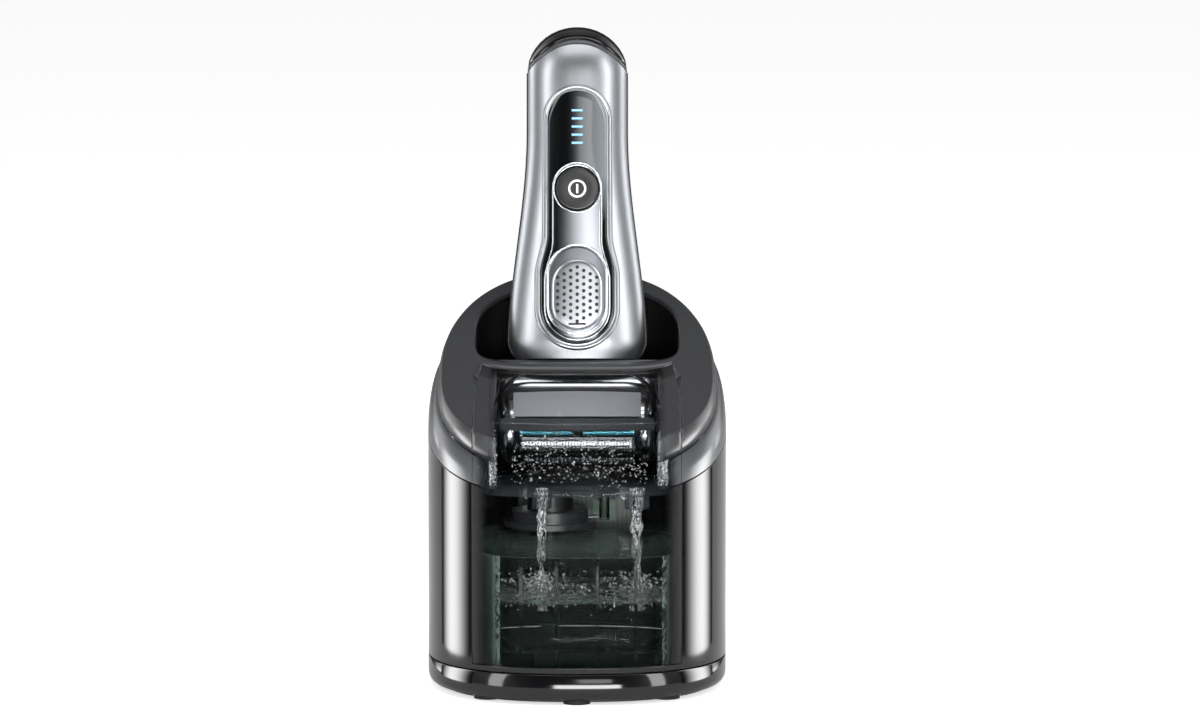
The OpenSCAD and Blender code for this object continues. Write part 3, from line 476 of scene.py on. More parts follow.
def well_edge(f, grow=0.0):
    """The well's outline: an oval behind, and a rounded box in front, down to the straight rim."""
    if sin(f) >= 0:
        x, y = oval(well_half + grow, well_d + grow, 2.6, f)
        return x, well_y + y
    x, y = oval(well_half + grow, well_y - rim_y + grow, 5.0, f)
    return x, well_y + y


def deck_ring(keep_front, half):
    edited = bmesh.new()
    stack = []
    for t in (0, 0.3, 0.55, 0.75, 0.9, 1):
        def place(f, t=t):
            bend = t * pi / 2
            inset = collar_in + (deck_in - collar_in) * (1 - cos(bend))
            x, y = oval(half_w - inset, half_d - inset, station_n, f)
            low_z = groove_at(y) + seam_gap / 2
            return Vector((x, y, low_z + (deck_at(y) - low_z) * sin(bend))) * MM
        stack.append(hoop(edited, 192, place))

    for t in (0.03, 0.2, 0.45, 0.7, 0.9, 0.97):
        def place(f, t=t):
            x0, y0 = oval(half_w - deck_in, half_d - deck_in, station_n, f)
            x1, y1 = well_edge(f)
            x, y = x0 + (x1 - x0) * t, y0 + (y1 - y0) * t
            return Vector((x, y, deck_at(y))) * MM
        stack.append(hoop(edited, 192, place))

    # the lip rolls over into the well
    for drop, step in ((0.25, 0.05), (0.8, 0.3), (1.8, 0.45)):
        def place(f, drop=drop, step=step):
            x, y = well_edge(f, -step)
            return Vector((x, y, deck_at(y) - drop)) * MM
        stack.append(hoop(edited, 192, place))
    bridge(edited, stack)
    split_window(edited, half, None, keep_front)
    return edited


finish_piece("deck_cover", deck_ring(False, window_half), deck_grey, "housing", "deck_grey",
             "deck", wall=1.8 * MM)
deck_glass = fading_glass("smoked_deck", "#27282b", 0.36, 33.0, 28.5, "#050608", 0.01, shut=5)
finish_piece("deck_pane", deck_ring(True, pane_half), deck_glass, "housing", "smoked_window",
             "deck_window", wall=1.8 * MM)

# ---------------------------------------------------------------- inside of the station
# Black ABS carriers, steel posts and springs, the pump and its tubes. They are plain mouldings and
# turned parts that only glint through the smoked window, so they keep their CAD shapes.
def metal(name, base, roughness, brushed=0.0, stretch=(1, 1, 1), uneven=0.25):
    """A metal with fine marks along one direction; stretch squeezes the marks into lines."""
    made = bpy.data.materials.new(name)
    made.use_nodes = True
    tree = made.node_tree
    shader = tree.nodes["Principled BSDF"]
    shader.inputs["Metallic"].default_value = 1
    place = add(tree, "ShaderNodeTexCoord")
    lay = add(tree, "ShaderNodeMapping", {"Scale": stretch}, Vector=place.outputs["Object"])
    marks = add(tree, "ShaderNodeTexNoise", {"Scale": 700.0, "Detail": 3.0}, Vector=lay.outputs[0])
    cloud = add(tree, "ShaderNodeTexNoise", {"Scale": 45.0, "Detail": 3.0}, Vector=place.outputs["Object"])
    spread = add(tree, "ShaderNodeMapRange", {"To Min": roughness * (1 - uneven),
                 "To Max": roughness * (1 + uneven)}, Value=cloud.outputs["Fac"])
    tree.links.new(spread.outputs[0], shader.inputs["Roughness"])
    shade = add(tree, "ShaderNodeMixRGB", {"Color1": colour(base), "Color2": colour(base)},
                Fac=marks.outputs["Fac"])
    shade.inputs["Color2"].default_value = tuple(c * 0.86 for c in colour(base)[:3]) + (1,)
    tree.links.new(shade.outputs[0], shader.inputs["Base Color"])
    scratch = add(tree, "ShaderNodeBump", {"Strength": brushed, "Distance": 0.00005}, Height=marks.outputs["Fac"])
    tree.links.new(scratch.outputs[0], shader.inputs["Normal"])
    return made


inner_black = plastic("inner_black_abs", "#050506", 0.42, grain=0.2)
steel = metal("ground_steel", "#8d9196", 0.25, 0.1, (1, 1, 0.05))
pump_grey = plastic("pump_nylon", "#2a2d30", 0.3, grain=0.15)
for name in ("lift_sleeves", "well_liner", "pump_motor", "lift_button"):
    dress(name, inner_black)
for name in ("guide_posts", "lift_springs", "pcb_screws"):
    dress(name, steel)
for name in ("pump_housing", "pump_impeller"):
    dress(name, pump_grey)

# circuit boards: dark solder mask over copper runs, which read as a faint square lattice
board = bpy.data.materials.new("solder_mask")
board.use_nodes = True
tree = board.node_tree
shader = tree.nodes["Principled BSDF"]
place = add(tree, "ShaderNodeTexCoord")
runs = add(tree, "ShaderNodeTexBrick", {"Scale": 300.0, "Mortar Size": 0.03,
           "Color1": colour("#0b2a1c"), "Color2": colour("#0d3323"), "Mortar": colour("#1f5a40")},
           Vector=place.outputs["Object"])
tree.links.new(runs.outputs["Color"], shader.inputs["Base Color"])
shader.inputs["Roughness"].default_value = 0.3
for name in ("station_pcb", "main_pcb"):
    dress(name, board)
gold = metal("gold_plated_contact", "#c9a24a", 0.2, 0.05)
for name in ("station_contacts", "charging_contacts"):
    dress(name, gold)
dress("power_inlet", inner_black)


def clear_plastic(name, tint, roughness, ior, milky=0.0):
    """Clear moulded plastic or liquid: light goes through, edges glint; faint flow marks."""
    made = bpy.data.materials.new(name)
    made.use_nodes = True
    tree = made.node_tree
    shader = tree.nodes["Principled BSDF"]
    shader.inputs["Base Color"].default_value = colour(tint)
    shader.inputs["IOR"].default_value = ior
    place = add(tree, "ShaderNodeTexCoord")
    flow = add(tree, "ShaderNodeTexNoise", {"Scale": 60.0, "Detail": 3.0, "Distortion": 1.5},
               Vector=place.outputs["Object"])
    spread = add(tree, "ShaderNodeMapRange", {"To Min": roughness * 0.6, "To Max": roughness * 1.6},
                 Value=flow.outputs["Fac"])
    tree.links.new(spread.outputs[0], shader.inputs["Roughness"])
    bump = add(tree, "ShaderNodeBump", {"Strength": 0.15, "Distance": 0.0006}, Height=flow.outputs["Fac"])
    tree.links.new(bump.outputs[0], shader.inputs["Normal"])
    shader.inputs["Transmission Weight"].default_value = 1.0 - milky
    return made


tube_clear = clear_plastic("clear_pvc_tube", "#9fb3ad", 0.12, 1.53)
dress("suction_tube", tube_clear)
dress("delivery_tube", tube_clear)

# ---------------------------------------------------------------- cleaning cartridge
# A clear moulded tub under a clear lid; upright baffles stand in it, and dark filter blocks. The
# fluid fills its lower two thirds, and its surface is broken where the streams fall in.
shell_clear = clear_plastic("clear_san", "#b9cfc7", 0.03, 1.57)
for name in ("cartridge_tub", "cartridge_lid"):
    dress(name, shell_clear)
dress("cartridge_baffles", plastic("baffle_grey", "#191d1e", 0.2, wave=0.1))

# ---------------------------------------------------------------- handle shells
# Two ABS half shells. The front one is metallised satin silver and runs up to an arched top; the
# rear one is soft black. They meet along the sides and are screwed to the frame inside.
lean = Matrix.Translation(Vector((0, 21.5, 100)) * MM) @ Matrix.Rotation(radians(-10), 4, "X") @ Matrix.Scale(MM, 4)
handle_low, handle_l, end_dome, cap_h, seam_drop, band_h = 16.4, 140, 18, 7.4, 9.7, 2.2
front_d, back_d, handle_n = 15.5, 15.5, 2.5


def mix(a, b, t):
    return a + (b - a) * t


def dome(z):
    rise = max(0, z - (handle_l - end_dome)) / end_dome
    return sqrt(max(0, 1 - rise * rise))


def handle_w(z):
    shoulder = 1 - (0.14 * ((24 - z) / 8) ** 2 if z < 24 else 0)
    return dome(z) * shoulder * mix(25.9, 18.8, smooth((z - 18) / 82.6))


def handle_point(z, f, inset=0.0):
    """A point of the handle's skin, in its own frame: z from the pivot, f round it, front at 270."""
    d = dome(z) * (mix(14, front_d, smooth((z - handle_low) / 6)) if sin(f) < 0
                   else mix(back_d, back_d - 2.8, smooth((z - 92) / 34)))
    x, y = oval(max(0.3, handle_w(z) - inset), max(0.3, d - inset), handle_n, f)
    return Vector((x, y, z))


def shell_top(f):
    return handle_l - cap_h - seam_drop * cos(f) ** 2


def on_skin(x, z, out):
    """A point of the front skin behind x and z, raised by out."""
    w = handle_w(z) - 0.5 + out
    d = dome(z) * mix(14, front_d, smooth((z - handle_low) / 6)) - 0.5 + out
    return Vector((x, -d * max(0, 1 - min(1, abs(x) / w) ** handle_n) ** (1 / handle_n), z))


def pierce(mesh_edit, z0, radius, sides=32):
    """Cuts a round hole for the button through a sheet on the handle's front."""
    middle = lean @ Vector((0, -front_d, z0))
    up = (lean.to_3x3() @ Vector((0, 0, 1))).normalized()

    def off(point):
        return sqrt((point.x - middle.x) ** 2 + (point - middle).dot(up) ** 2)

    for k in range(sides):
        near = [f for f in mesh_edit.faces if min(off(v.co) for v in f.verts) < radius * 1.3 * MM]
        out = Vector((cos(2 * pi * k / sides), 0, 0)) + up * sin(2 * pi * k / sides)
        parts = set(near) | {e for f in near for e in f.edges} | {v for f in near for v in f.verts}
        bmesh.ops.bisect_plane(mesh_edit, geom=list(parts), plane_co=middle + out * radius * MM, plane_no=out)
    gone = [f for f in mesh_edit.faces if off(f.calc_center_median()) < radius * 0.999 * MM]
    bmesh.ops.delete(mesh_edit, geom=gone, context="FACES")


satin_silver = metal("satin_metallised_abs", "#a6a9ad", 0.38, 0.0, (1, 1, 0.2), 0.05)
soft_black = plastic("soft_touch_black", "#141517", 0.45, grain=0.15)


def half_shell(name, first, last, inset, material, slot, node):
    edited = bmesh.new()
    rows, columns = 44, 96
    grid = bmesh.ops.create_grid(edited, x_segments=columns, y_segments=rows, size=0.5)["verts"]
    for vert in grid:
        f = mix(first, last, vert.co.x + 0.5)
        top = shell_top(f) if inset else handle_l - cap_h - seam_drop
        z = mix(handle_low, top, vert.co.y + 0.5)
        vert.co = lean @ handle_point(z, f, inset)
    if inset:
        pierce(edited, handle_l - 61.1, 8.3)
    made = finish_piece(name, edited, material, "shaver", slot, node, wall=1.6 * MM, edge=0.25 * MM)
    return made


half_shell("front_cover", radians(184), radians(356), 0.5, satin_silver, "satin_silver", "front_shell")
half_shell("rear_cover", radians(-3), radians(183), 0, soft_black, "handle_black", "rear_shell")

# the dark band under the end cap, and the polished black cap that closes the handle
band_grey = plastic("band_grey_abs", "#3a3c40", 0.25, wave=0.02)
band = bmesh.new()
rows = []
for inset, rise in ((1.9, 0.2), (0.45, 0.2), (0.3, 0.35), (0.3, band_h - 0.35), (0.45, band_h - 0.2), (1.9, band_h - 0.2)):
    rows.append(hoop(band, 128, lambda f, i=inset, r=rise: lean @ handle_point(
        (shell_top(f) if sin(f) < 0 else shell_top(0)) + r, f, i)))
bridge(band, rows)
finish_piece("end_ring", band, band_grey, "shaver", "band_grey", "end_band")

cap = bmesh.new()
rows = []
for t in (0, 0.02, 0.15, 0.3, 0.45, 0.6, 0.72, 0.82, 0.9, 0.95, 0.98, 0.995):
    def place(f, t=t):
        low = (shell_top(f) if sin(f) < 0 else shell_top(0)) + band_h
        return lean @ handle_point(mix(low, handle_l, t), f, 0.4 * max(0, 1 - t * 20))
    rows.append(hoop(cap, 128, place))
bridge(cap, rows)
bmesh.ops.contextual_create(cap, geom=rows[-1])
finish_piece("cap", cap, gloss_black, "shaver", "handle_black", "end_cap", wall=1.6 * MM)

# ---------------------------------------------------------------- inlay, its rim and the controls
# A waisted black glass-like inlay lies in a polished rim. A thin bright line runs over the button
# and round the lock, with a silver tongue inside it.
inlay_top = handle_l - 22.4
button_z = handle_l - 61.1
lock_low, lock_l, lock_w = 26.6, 26.2, 18


def outline(f, w, wide, low, top, knee=62):
    """A point of a waisted outline: round top, and a wide round foot. f runs from 0 to 1."""
    arc_foot, arc_head = pi * wide, pi * w
    side = max(0.1, top - low - w - wide)
    whole = arc_foot + arc_head + 2 * side
    s = f * whole
    if s < arc_foot:
        a = pi + s / wide
        return wide * cos(a), low + wide + wide * sin(a)
    s -= arc_foot
    if s < side:
        z = low + wide + s
        return w + (wide - w) * smooth((knee - z) / 15), z
    s -= side
    if s < arc_head:
        a = s / w
        return w * cos(a), top - w + w * sin(a)
    z = top - w - (s - arc_head)
    return -(w + (wide - w) * smooth((knee - z) / 15)), z


def bead(name, shape, profile, material, body, slot, *replaced):
    """A moulded line round an outline: profile gives how far inwards and how far out each row is."""
    edited = bmesh.new()
    rows = []
    for inwards, out in profile:
        w, wide, low, top, knee = shape

        def place(f, i=inwards, o=out):
            x, z = outline(f / (2 * pi), w - i, wide - i, low + i, top - i, knee)
            return lean @ on_skin(x, z, o)
        rows.append(hoop(edited, 220, place))
    bridge(edited, rows)
    return finish_piece(name, edited, material, body, slot, *replaced)


def plate(name, shape, out, material, body, slot, *replaced, crown=0.0, shift=0.0):
    """A thin plate inside an outline, wrapped on the skin; crown lifts its middle."""
    edited = bmesh.new()
    w, wide, low, top, knee = shape
    rows = []
    for t in (1, 0.985, 0.93, 0.8, 0.6, 0.4, 0.2, 0.05):
        middle = (low + top) / 2

        def place(f, t=t):
            x, z = outline(f / (2 * pi), w, wide, low, top, knee)
            drop = -0.35 if t == 1 else 0
            return lean @ on_skin(x * t, middle + (z - middle) * t, out + drop + crown * (1 - t * t))
        rows.append(hoop(edited, 220, place))
    bridge(edited, rows)
    bmesh.ops.contextual_create(edited, geom=rows[-1])
    if top > button_z:
        pierce(edited, button_z, 8.3)
    return finish_piece(name, edited, material, body, slot, *replaced)


bright = metal("polished_chrome", "#dfe2e5", 0.06, 0.0, (1, 1, 1), 0.2)
satin_line = metal("satin_rim", "#a0a3a7", 0.3, 0.0, (1, 1, 1), 0.1)
rim = (13.05, 15.8, 19.2, inlay_top, 62)
bead("rim_bead", rim, ((0, -0.3), (0.05, 0.2), (0.35, 0.5), (0.9, 0.55), (1.5, 0.35), (2.0, -0.1)),
     satin_line, "shaver", "bright_silver", "inlay_rim")

# the inlay is clear lacquer over a dark print; a painted reflection turns it greyer towards the right and upwards
inlay_painted_reflection = bpy.data.materials.new("lacquered_inlay")
inlay_painted_reflection.use_nodes = True
tree = inlay_painted_reflection.node_tree
shader = tree.nodes["Principled BSDF"]
place = add(tree, "ShaderNodeTexCoord")
parts = add(tree, "ShaderNodeSeparateXYZ", n0=place.outputs["Object"])
across = add(tree, "ShaderNodeMapRange", {"From Min": -0.004, "From Max": 0.011, "To Min": 0.0, "To Max": 1.0,
             "interpolation_type": "SMOOTHSTEP"}, Value=parts.outputs[0])
reflection_height = add(tree, "ShaderNodeMapRange", {"From Min": 0.168, "From Max": 0.185}, Value=parts.outputs[2])
both = add(tree, "ShaderNodeMath", {"operation": "MULTIPLY"}, n0=across.outputs[0], n1=reflection_height.outputs[0])
# painted reflection: grey is mixed into the dark inlay over its upper right part
shade = add(tree, "ShaderNodeMixRGB", {"Color1": colour("#070809"), "Color2": colour("#74797c")}, Fac=both.outputs[0])
tree.links.new(shade.outputs[0], shader.inputs["Base Color"])
flaw = add(tree, "ShaderNodeTexNoise", {"Scale": 90.0, "Detail": 2.0}, Vector=place.outputs["Object"])
gloss = add(tree, "ShaderNodeMapRange", {"To Min": 0.08, "To Max": 0.14}, Value=flaw.outputs["Fac"])
tree.links.new(gloss.outputs[0], shader.inputs["Roughness"])
plate("inlay_plate", (11.1, 13.9, 21.1, inlay_top - 1.9, 62), 0.15, inlay_painted_reflection, "shaver", "inlay_gloss", "inlay")

keyhole = (9.3, 12.3, lock_low - 3.9, button_z + 9.9, 60)
bead("keyhole_line", keyhole, ((0, 0.1), (0.05, 0.5), (0.3, 0.7), (0.55, 0.5), (0.6, 0.1)), bright, "shaver",
     "bright_silver")

# the tongue is brushed along the handle; a painted reflection shades it from dark to bright across
tongue_silver = metal("brushed_tongue", "#c3c6ca", 0.3, 0.06, (1, 1, 0.03), 0.1)
tree = tongue_silver.node_tree
shader = tree.nodes["Principled BSDF"]
place = add(tree, "ShaderNodeTexCoord")
parts = add(tree, "ShaderNodeSeparateXYZ", n0=place.outputs["Object"])
across = add(tree, "ShaderNodeMapRange", {"From Min": -0.009, "From Max": 0.004, "To Min": 0.0, "To Max": 1.0,
             "interpolation_type": "SMOOTHSTEP"}, Value=parts.outputs[0])
# painted reflection: the base colour runs from near black on the left to bright silver on the right
shade = add(tree, "ShaderNodeMixRGB", {"Color1": colour("#1b1b1f"), "Color2": colour("#b9bcc1")}, Fac=across.outputs[0])
tree.links.new(shade.outputs[0], shader.inputs["Base Color"])
plate("tongue", (8.6, 11.6, lock_low - 3.1, button_z + 6.5, 60), 0.3, tongue_silver, "shaver", "bright_silver")

# charge bars: five pale blue light guides, flush in the inlay
light = bpy.data.materials.new("light_guide")
light.use_nodes = True
tree = light.node_tree
shader = tree.nodes["Principled BSDF"]
shader.inputs["Base Color"].default_value = colour("#7fb6dc")
shader.inputs["Roughness"].default_value = 0.3
shader.inputs["Emission Strength"].default_value = 0.45
place = add(tree, "ShaderNodeTexCoord")
uneven = add(tree, "ShaderNodeTexNoise", {"Scale": 500.0}, Vector=place.outputs["Object"])
shade = add(tree, "ShaderNodeMixRGB", {"Color1": colour("#6fb2e2"), "Color2": colour("#b6dcf5")}, Fac=uneven.outputs["Fac"])
tree.links.new(shade.outputs[0], shader.inputs["Emission Color"])
bars = bmesh.new()
for k in range(5):
    lit = bmesh.ops.create_grid(bars, x_segments=6, y_segments=1, size=0.5)["verts"]
    for vert in lit:
        vert.co = lean @ on_skin(vert.co.x * 4.1, handle_l - 32.1 - 3 * k + vert.co.y * 0.8, 0.2)
finish_piece("lit_bars", bars, light, "shaver", "charge_light", "charge_bars", wall=0.3 * MM)


def disc(mesh_edit, radius, z0, profile):
    """Turned rows about the button's axis: each row is a radius and a height over the skin's middle."""
    rows = []
    for r, out in profile:
        rows.append(hoop(mesh_edit, 96, lambda f, r=r, o=out: lean @ Vector(
            (r * cos(f), -front_d + 0.5 - o, z0 + r * sin(f)))))
    bridge(mesh_edit, rows)
    return rows


# the button is a polished disc with a shallow dish, in a half ring that catches the light
button = bmesh.new()
rows = disc(button, 7.8, button_z, ((7.8, -1.5), (7.8, 0.75), (7.55, 0.98), (7.2, 1.0), (5, 0.98), (2, 0.97), (0.3, 0.97)))
bmesh.ops.contextual_create(button, geom=rows[-1])
bmesh.ops.contextual_create(button, geom=rows[0])
finish_piece("button_disc", button, plastic("button_black", "#131416", 0.22, wave=0.0, coat=0.2), "button", "inlay_gloss", "power_button")
ring = bmesh.new()
disc(ring, 9, button_z, ((9.0, -1.0), (9.0, 0.4), (8.85, 0.62), (8.6, 0.66), (8.4, 0.5), (8.3, -1.0)))
finish_piece("button_halo", ring, bright, "shaver", "chrome_ring", "button_ring")

symbol = bmesh.new()
loop = bmesh.ops.create_grid(symbol, x_segments=64, y_segments=1, size=0.5)["verts"]
for vert in loop:
    f, r = 2 * pi * (vert.co.x + 0.5), 2.95 + vert.co.y * 0.75
    vert.co = lean @ Vector((r * cos(f), -front_d + 0.5 - 1.1, button_z + r * sin(f)))
stroke = bmesh.ops.create_grid(symbol, x_segments=1, y_segments=4, size=0.5)["verts"]
for vert in stroke:
    vert.co = lean @ Vector((vert.co.x * 0.75, -front_d + 0.5 - 1.1, button_z + vert.co.y * 3.4))
finish_piece("power_mark", symbol, plastic("white_print", "#eef0f2", 0.4, wave=0.0), "button", "white_print", "power_symbol")

# ---------------------------------------------------------------- head lock
# A sliding lock in a pill-shaped recess: a chrome surround, a black well, and a domed metallised pad
# that is perforated with seven staggered columns of dimples for grip.
surround = (11.0, 11.0, lock_low - 1.5, lock_low + lock_l + 4 + 1.5, 0)
bead("lock_surround", surround, ((-0.4, 0.3), (-0.3, 0.6), (0.1, 0.85), (0.5, 0.7), (0.65, 0.2)), bright, "shaver",
     "bright_silver", "lock_bezel")
plate("lock_well", (10.7, 10.7, lock_low - 1.2, lock_low + lock_l + 4 + 1.2, 0), 0.36,
      metal("lock_tray", "#85888d", 0.3), "shaver", "handle_black")

# the dimples and the slot are drawn as black discs and a bar: painted shade for their depth; their rims carry the wear
pad_metal = metal("dimpled_pad", "#b5b8bc", 0.3, 0.0, (1, 1, 1), 0.1)
pit_painted_shade = plastic("dimple_painted_shade", "#17181a", 0.6)
pad = bmesh.new()
pad_shape = (9.5, 9.5, lock_low + 0.2, lock_low + lock_l, 0)
rows = []
for t, out in ((1.0, 0.4), (0.995, 0.9), (0.97, 1.15), (0.9, 1.35), (0.8, 1.4), (0.6, 1.45), (0.4, 1.5), (0.2, 1.5), (0.05, 1.5)):
    middle = lock_low + lock_l / 2

    def place(f, t=t, o=out):
        x, z = outline(f / (2 * pi), *pad_shape)
        return lean @ on_skin(x * t, middle + (z - middle) * t, o)
    rows.append(hoop(pad, 160, place))
bridge(pad, rows)
bmesh.ops.contextual_create(pad, geom=rows[-1])
finish_piece("lock_pad", pad, pad_metal, "lock", "bright_silver", "lock_switch")

# black discs for the dimples and a black bar for the slot: painted shade
pits = bmesh.new()
for column, count in enumerate((6, 7, 8, 9, 8, 7, 6)):
    for k in range(count):
        x = (column - 3) * 2.4
        z = lock_low + lock_l / 2 + 0.2 + (k - (count - 1) / 2) * 2.5
        dots = []
        for r, out in ((0.68, 1.42), (0.68, 1.56), (0.5, 1.53)):
            dots.append(hoop(pits, 14, lambda f, r=r, o=out, x=x, z=z: lean @ on_skin(x + r * cos(f), z + r * sin(f), o)))
        bridge(pits, dots)
        bmesh.ops.contextual_create(pits, geom=dots[-1])
slot_bar = bmesh.ops.create_grid(pits, x_segments=8, y_segments=1, size=0.5)["verts"]
for vert in slot_bar:
    vert.co = lean @ on_skin(vert.co.x * 6.5, lock_low + 2.3 + vert.co.y * 0.8, 1.52)
finish_piece("lock_dimples", pits, pit_painted_shade, "lock", "inner_black")

# ---------------------------------------------------------------- trimmer and the parts in the handle
# The pop-out trimmer rides on the back: a black slide over a ground steel comb. Inside the handle
# are a nylon frame, a wrapped cell and the board; they only show when the covers are hidden.
dress("trimmer_slide", soft_black)
dress("trimmer_blade", steel)
dress("main_frame", plastic("frame_nylon", "#5c6065", 0.5, grain=0.2))
dress("battery", plastic("battery_wrap", "#3f7d4c", 0.3, wave=0.05))

# ---------------------------------------------------------------- head carrier and chrome housing
# The head swings in a yoke: a dark bail runs over its front from one pivot to the other. The housing
# is zinc-plated plastic, chromed; a satin grey plate lies across it above the cassette.
tilt = lean @ Matrix.Rotation(radians(-16), 4, "X")
dress("head_yoke", plastic("yoke_grey", "#3c3e42", 0.3, grain=0.05, coat=0.3))
dress("cassette_frame", plastic("cassette_grey", "#303236", 0.3, grain=0.05))
chrome = metal("chromed_abs", "#d5d8dc", 0.2, 0.0, (1, 1, 1), 0.3)

# the bail: a flat oval rod from one pivot to the other, over the front of the housing
bail = bmesh.new()
path = []
for k in range(49):
    u = k / 24 - 1
    fall = max(0, abs(u) - 0.58) / 0.42
    path.append(Vector((30.6 * u, -15.1 + 9.6 * fall ** 3, 7.7 - 9.2 * fall ** 1.5)))
rows = []
for spot in path:
    rows.append(hoop(bail, 16, lambda f, p=spot: tilt @ (p + Vector((0, 0.7 * cos(f), 1.3 * sin(f))))))
bridge(bail, rows)
bmesh.ops.contextual_create(bail, geom=rows[0])
bmesh.ops.contextual_create(bail, geom=rows[-1])
finish_piece("bail", bail, plastic("bail_black", "#1c1d20", 0.22, wave=0.0), "shaver", "yoke_grey")

# a chromed box, rounded at its ends, that carries the cassette: rows run from end to end
head_half, head_r = 29.4, 11.5
shell = bmesh.new()
rows = []
ends = [(head_half - 5 + 5 * sin(radians(b)), (6 + 5 * cos(radians(b))) / 11) for b in range(90, -1, -15)]
for x, r in [(-x, r) for x, r in ends] + [(0, 1)] + ends[::-1]:
    def place(f, x=x, r=r):
        y, z = oval(12.6 * r, 11.0 * r, 3.2, f)
        return tilt @ Vector((x, y * (1.0 + 0.06 * (z < 0)), z - 1.0 + (1 - r) * 2))
    rows.append(hoop(shell, 96, place))
bridge(shell, rows)
bmesh.ops.contextual_create(shell, geom=rows[0])
bmesh.ops.contextual_create(shell, geom=rows[-1])
finish_piece("head_shell", shell, chrome, "head", "head_chrome", "head_housing", edge=0.5 * MM)

# the plate is a satin panel, 0.4 mm proud of the housing's front
panel_grey = plastic("satin_panel", "#85878c", 0.25, grain=0.05, coat=0.4, wave=0.0)
panel = bmesh.new()
grid = bmesh.ops.create_grid(panel, x_segments=60, y_segments=14, size=0.5)["verts"]
for vert in grid:
    x = vert.co.x * 47
    z = -9.2 + (vert.co.y + 0.5) * 9.4
    z += 0.6 * (1 - (2 * vert.co.x) ** 2) * (vert.co.y + 0.5)
    bow = 12.6 * 1.06 + 0.35 - 0.5 * smooth((z + 3) / 4)
    vert.co = tilt @ Vector((x, -bow, z))
finish_piece("head_panel", panel, panel_grey, "head", "cassette_grey", wall=0.35 * MM, edge=0.2 * MM)

# cheeks: chromed end blocks that close the cassette and carry the release buttons
cheeks = bmesh.new()
for side in (-1, 1):
    rows = []
    for reach, z in ((0.80, -9.0), (1, -9.6), (1, -13.5), (0.96, -16.5), (0.8, -19.0), (0.5, -20.0)):
        def place(f, g=reach, z=z, s=side):
            x, y = oval(3.1 * g, 13.2 * g, 3.5, f)
            return tilt @ Vector((s * 25.0 + x, y, z))
        rows.append(hoop(cheeks, 48, place))
    bridge(cheeks, rows)
    bmesh.ops.contextual_create(cheeks, geom=rows[-1])
finish_piece("cheeks", cheeks, chrome, "head", "head_chrome")

# ---------------------------------------------------------------- foils, comb and cutters
# Each foil is electroformed nickel, bent into an arch over its cutter block and pierced all over;
# the holes are drawn as a lattice of dark cells, painted shade for the dark inside each hole. The comb between them is
# gold-coated, teal here.
foil_half, foil_r, foil_y, arch_z = 21.1, 4.6, 7.6, -17.4
foil_metal = bpy.data.materials.new("pierced_foil")
foil_metal.use_nodes = True
tree = foil_metal.node_tree
shader = tree.nodes["Principled BSDF"]
shader.inputs["Metallic"].default_value = 1
place = add(tree, "ShaderNodeTexCoord")
cells = add(tree, "ShaderNodeTexVoronoi", {"feature": "DISTANCE_TO_EDGE", "Scale": 900.0, "Randomness": 0.35},
            Vector=place.outputs["Object"])
hole = add(tree, "ShaderNodeMapRange", {"From Min": 0.1, "From Max": 0.22, "To Min": 1.0, "To Max": 0.12},
           Value=cells.outputs["Distance"])
# painted shade: the hole cells are dark, the metal between them pale
shade = add(tree, "ShaderNodeMixRGB", {"Color1": colour("#15161a"), "Color2": colour("#c9ccd0")}, Fac=hole.outputs[0])
tree.links.new(shade.outputs[0], shader.inputs["Base Color"])
shader.inputs["Roughness"].default_value = 0.22
dent = add(tree, "ShaderNodeBump", {"Strength": 0.5, "Distance": 0.0001}, Height=hole.outputs[0])
tree.links.new(dent.outputs[0], shader.inputs["Normal"])
for side, body, node, slot in ((-1, "front_foil", "foil_front", "foil_steel"), (1, "rear_foil", "foil_rear", "foil_steel")):
    foil = bmesh.new()
    made = bmesh.ops.create_grid(foil, x_segments=40, y_segments=36, size=0.5)["verts"]
    for vert in made:
        f = radians(mix(-8, 188, vert.co.y + 0.5))
        vert.co = tilt @ Vector((vert.co.x * 2 * foil_half, side * foil_y + foil_r * cos(f), arch_z - foil_r * sin(f)))
    finish_piece(f"foil_{'front' if side < 0 else 'rear'}", foil, foil_metal, body, slot, node, wall=0.1 * MM)

teal = metal("teal_coated_comb", "#4f8f9c", 0.18, 0.0, (1, 1, 1), 0.3)
dress("middle_trimmer", teal)
for name in ("cutter_front", "cutter_rear", "drive_bridge"):
    dress(name, steel)
dress("drive_motor", metal("motor_can", "#b87a4b", 0.25))
for name in ("release_left", "release_right"):
    dress(name, chrome)

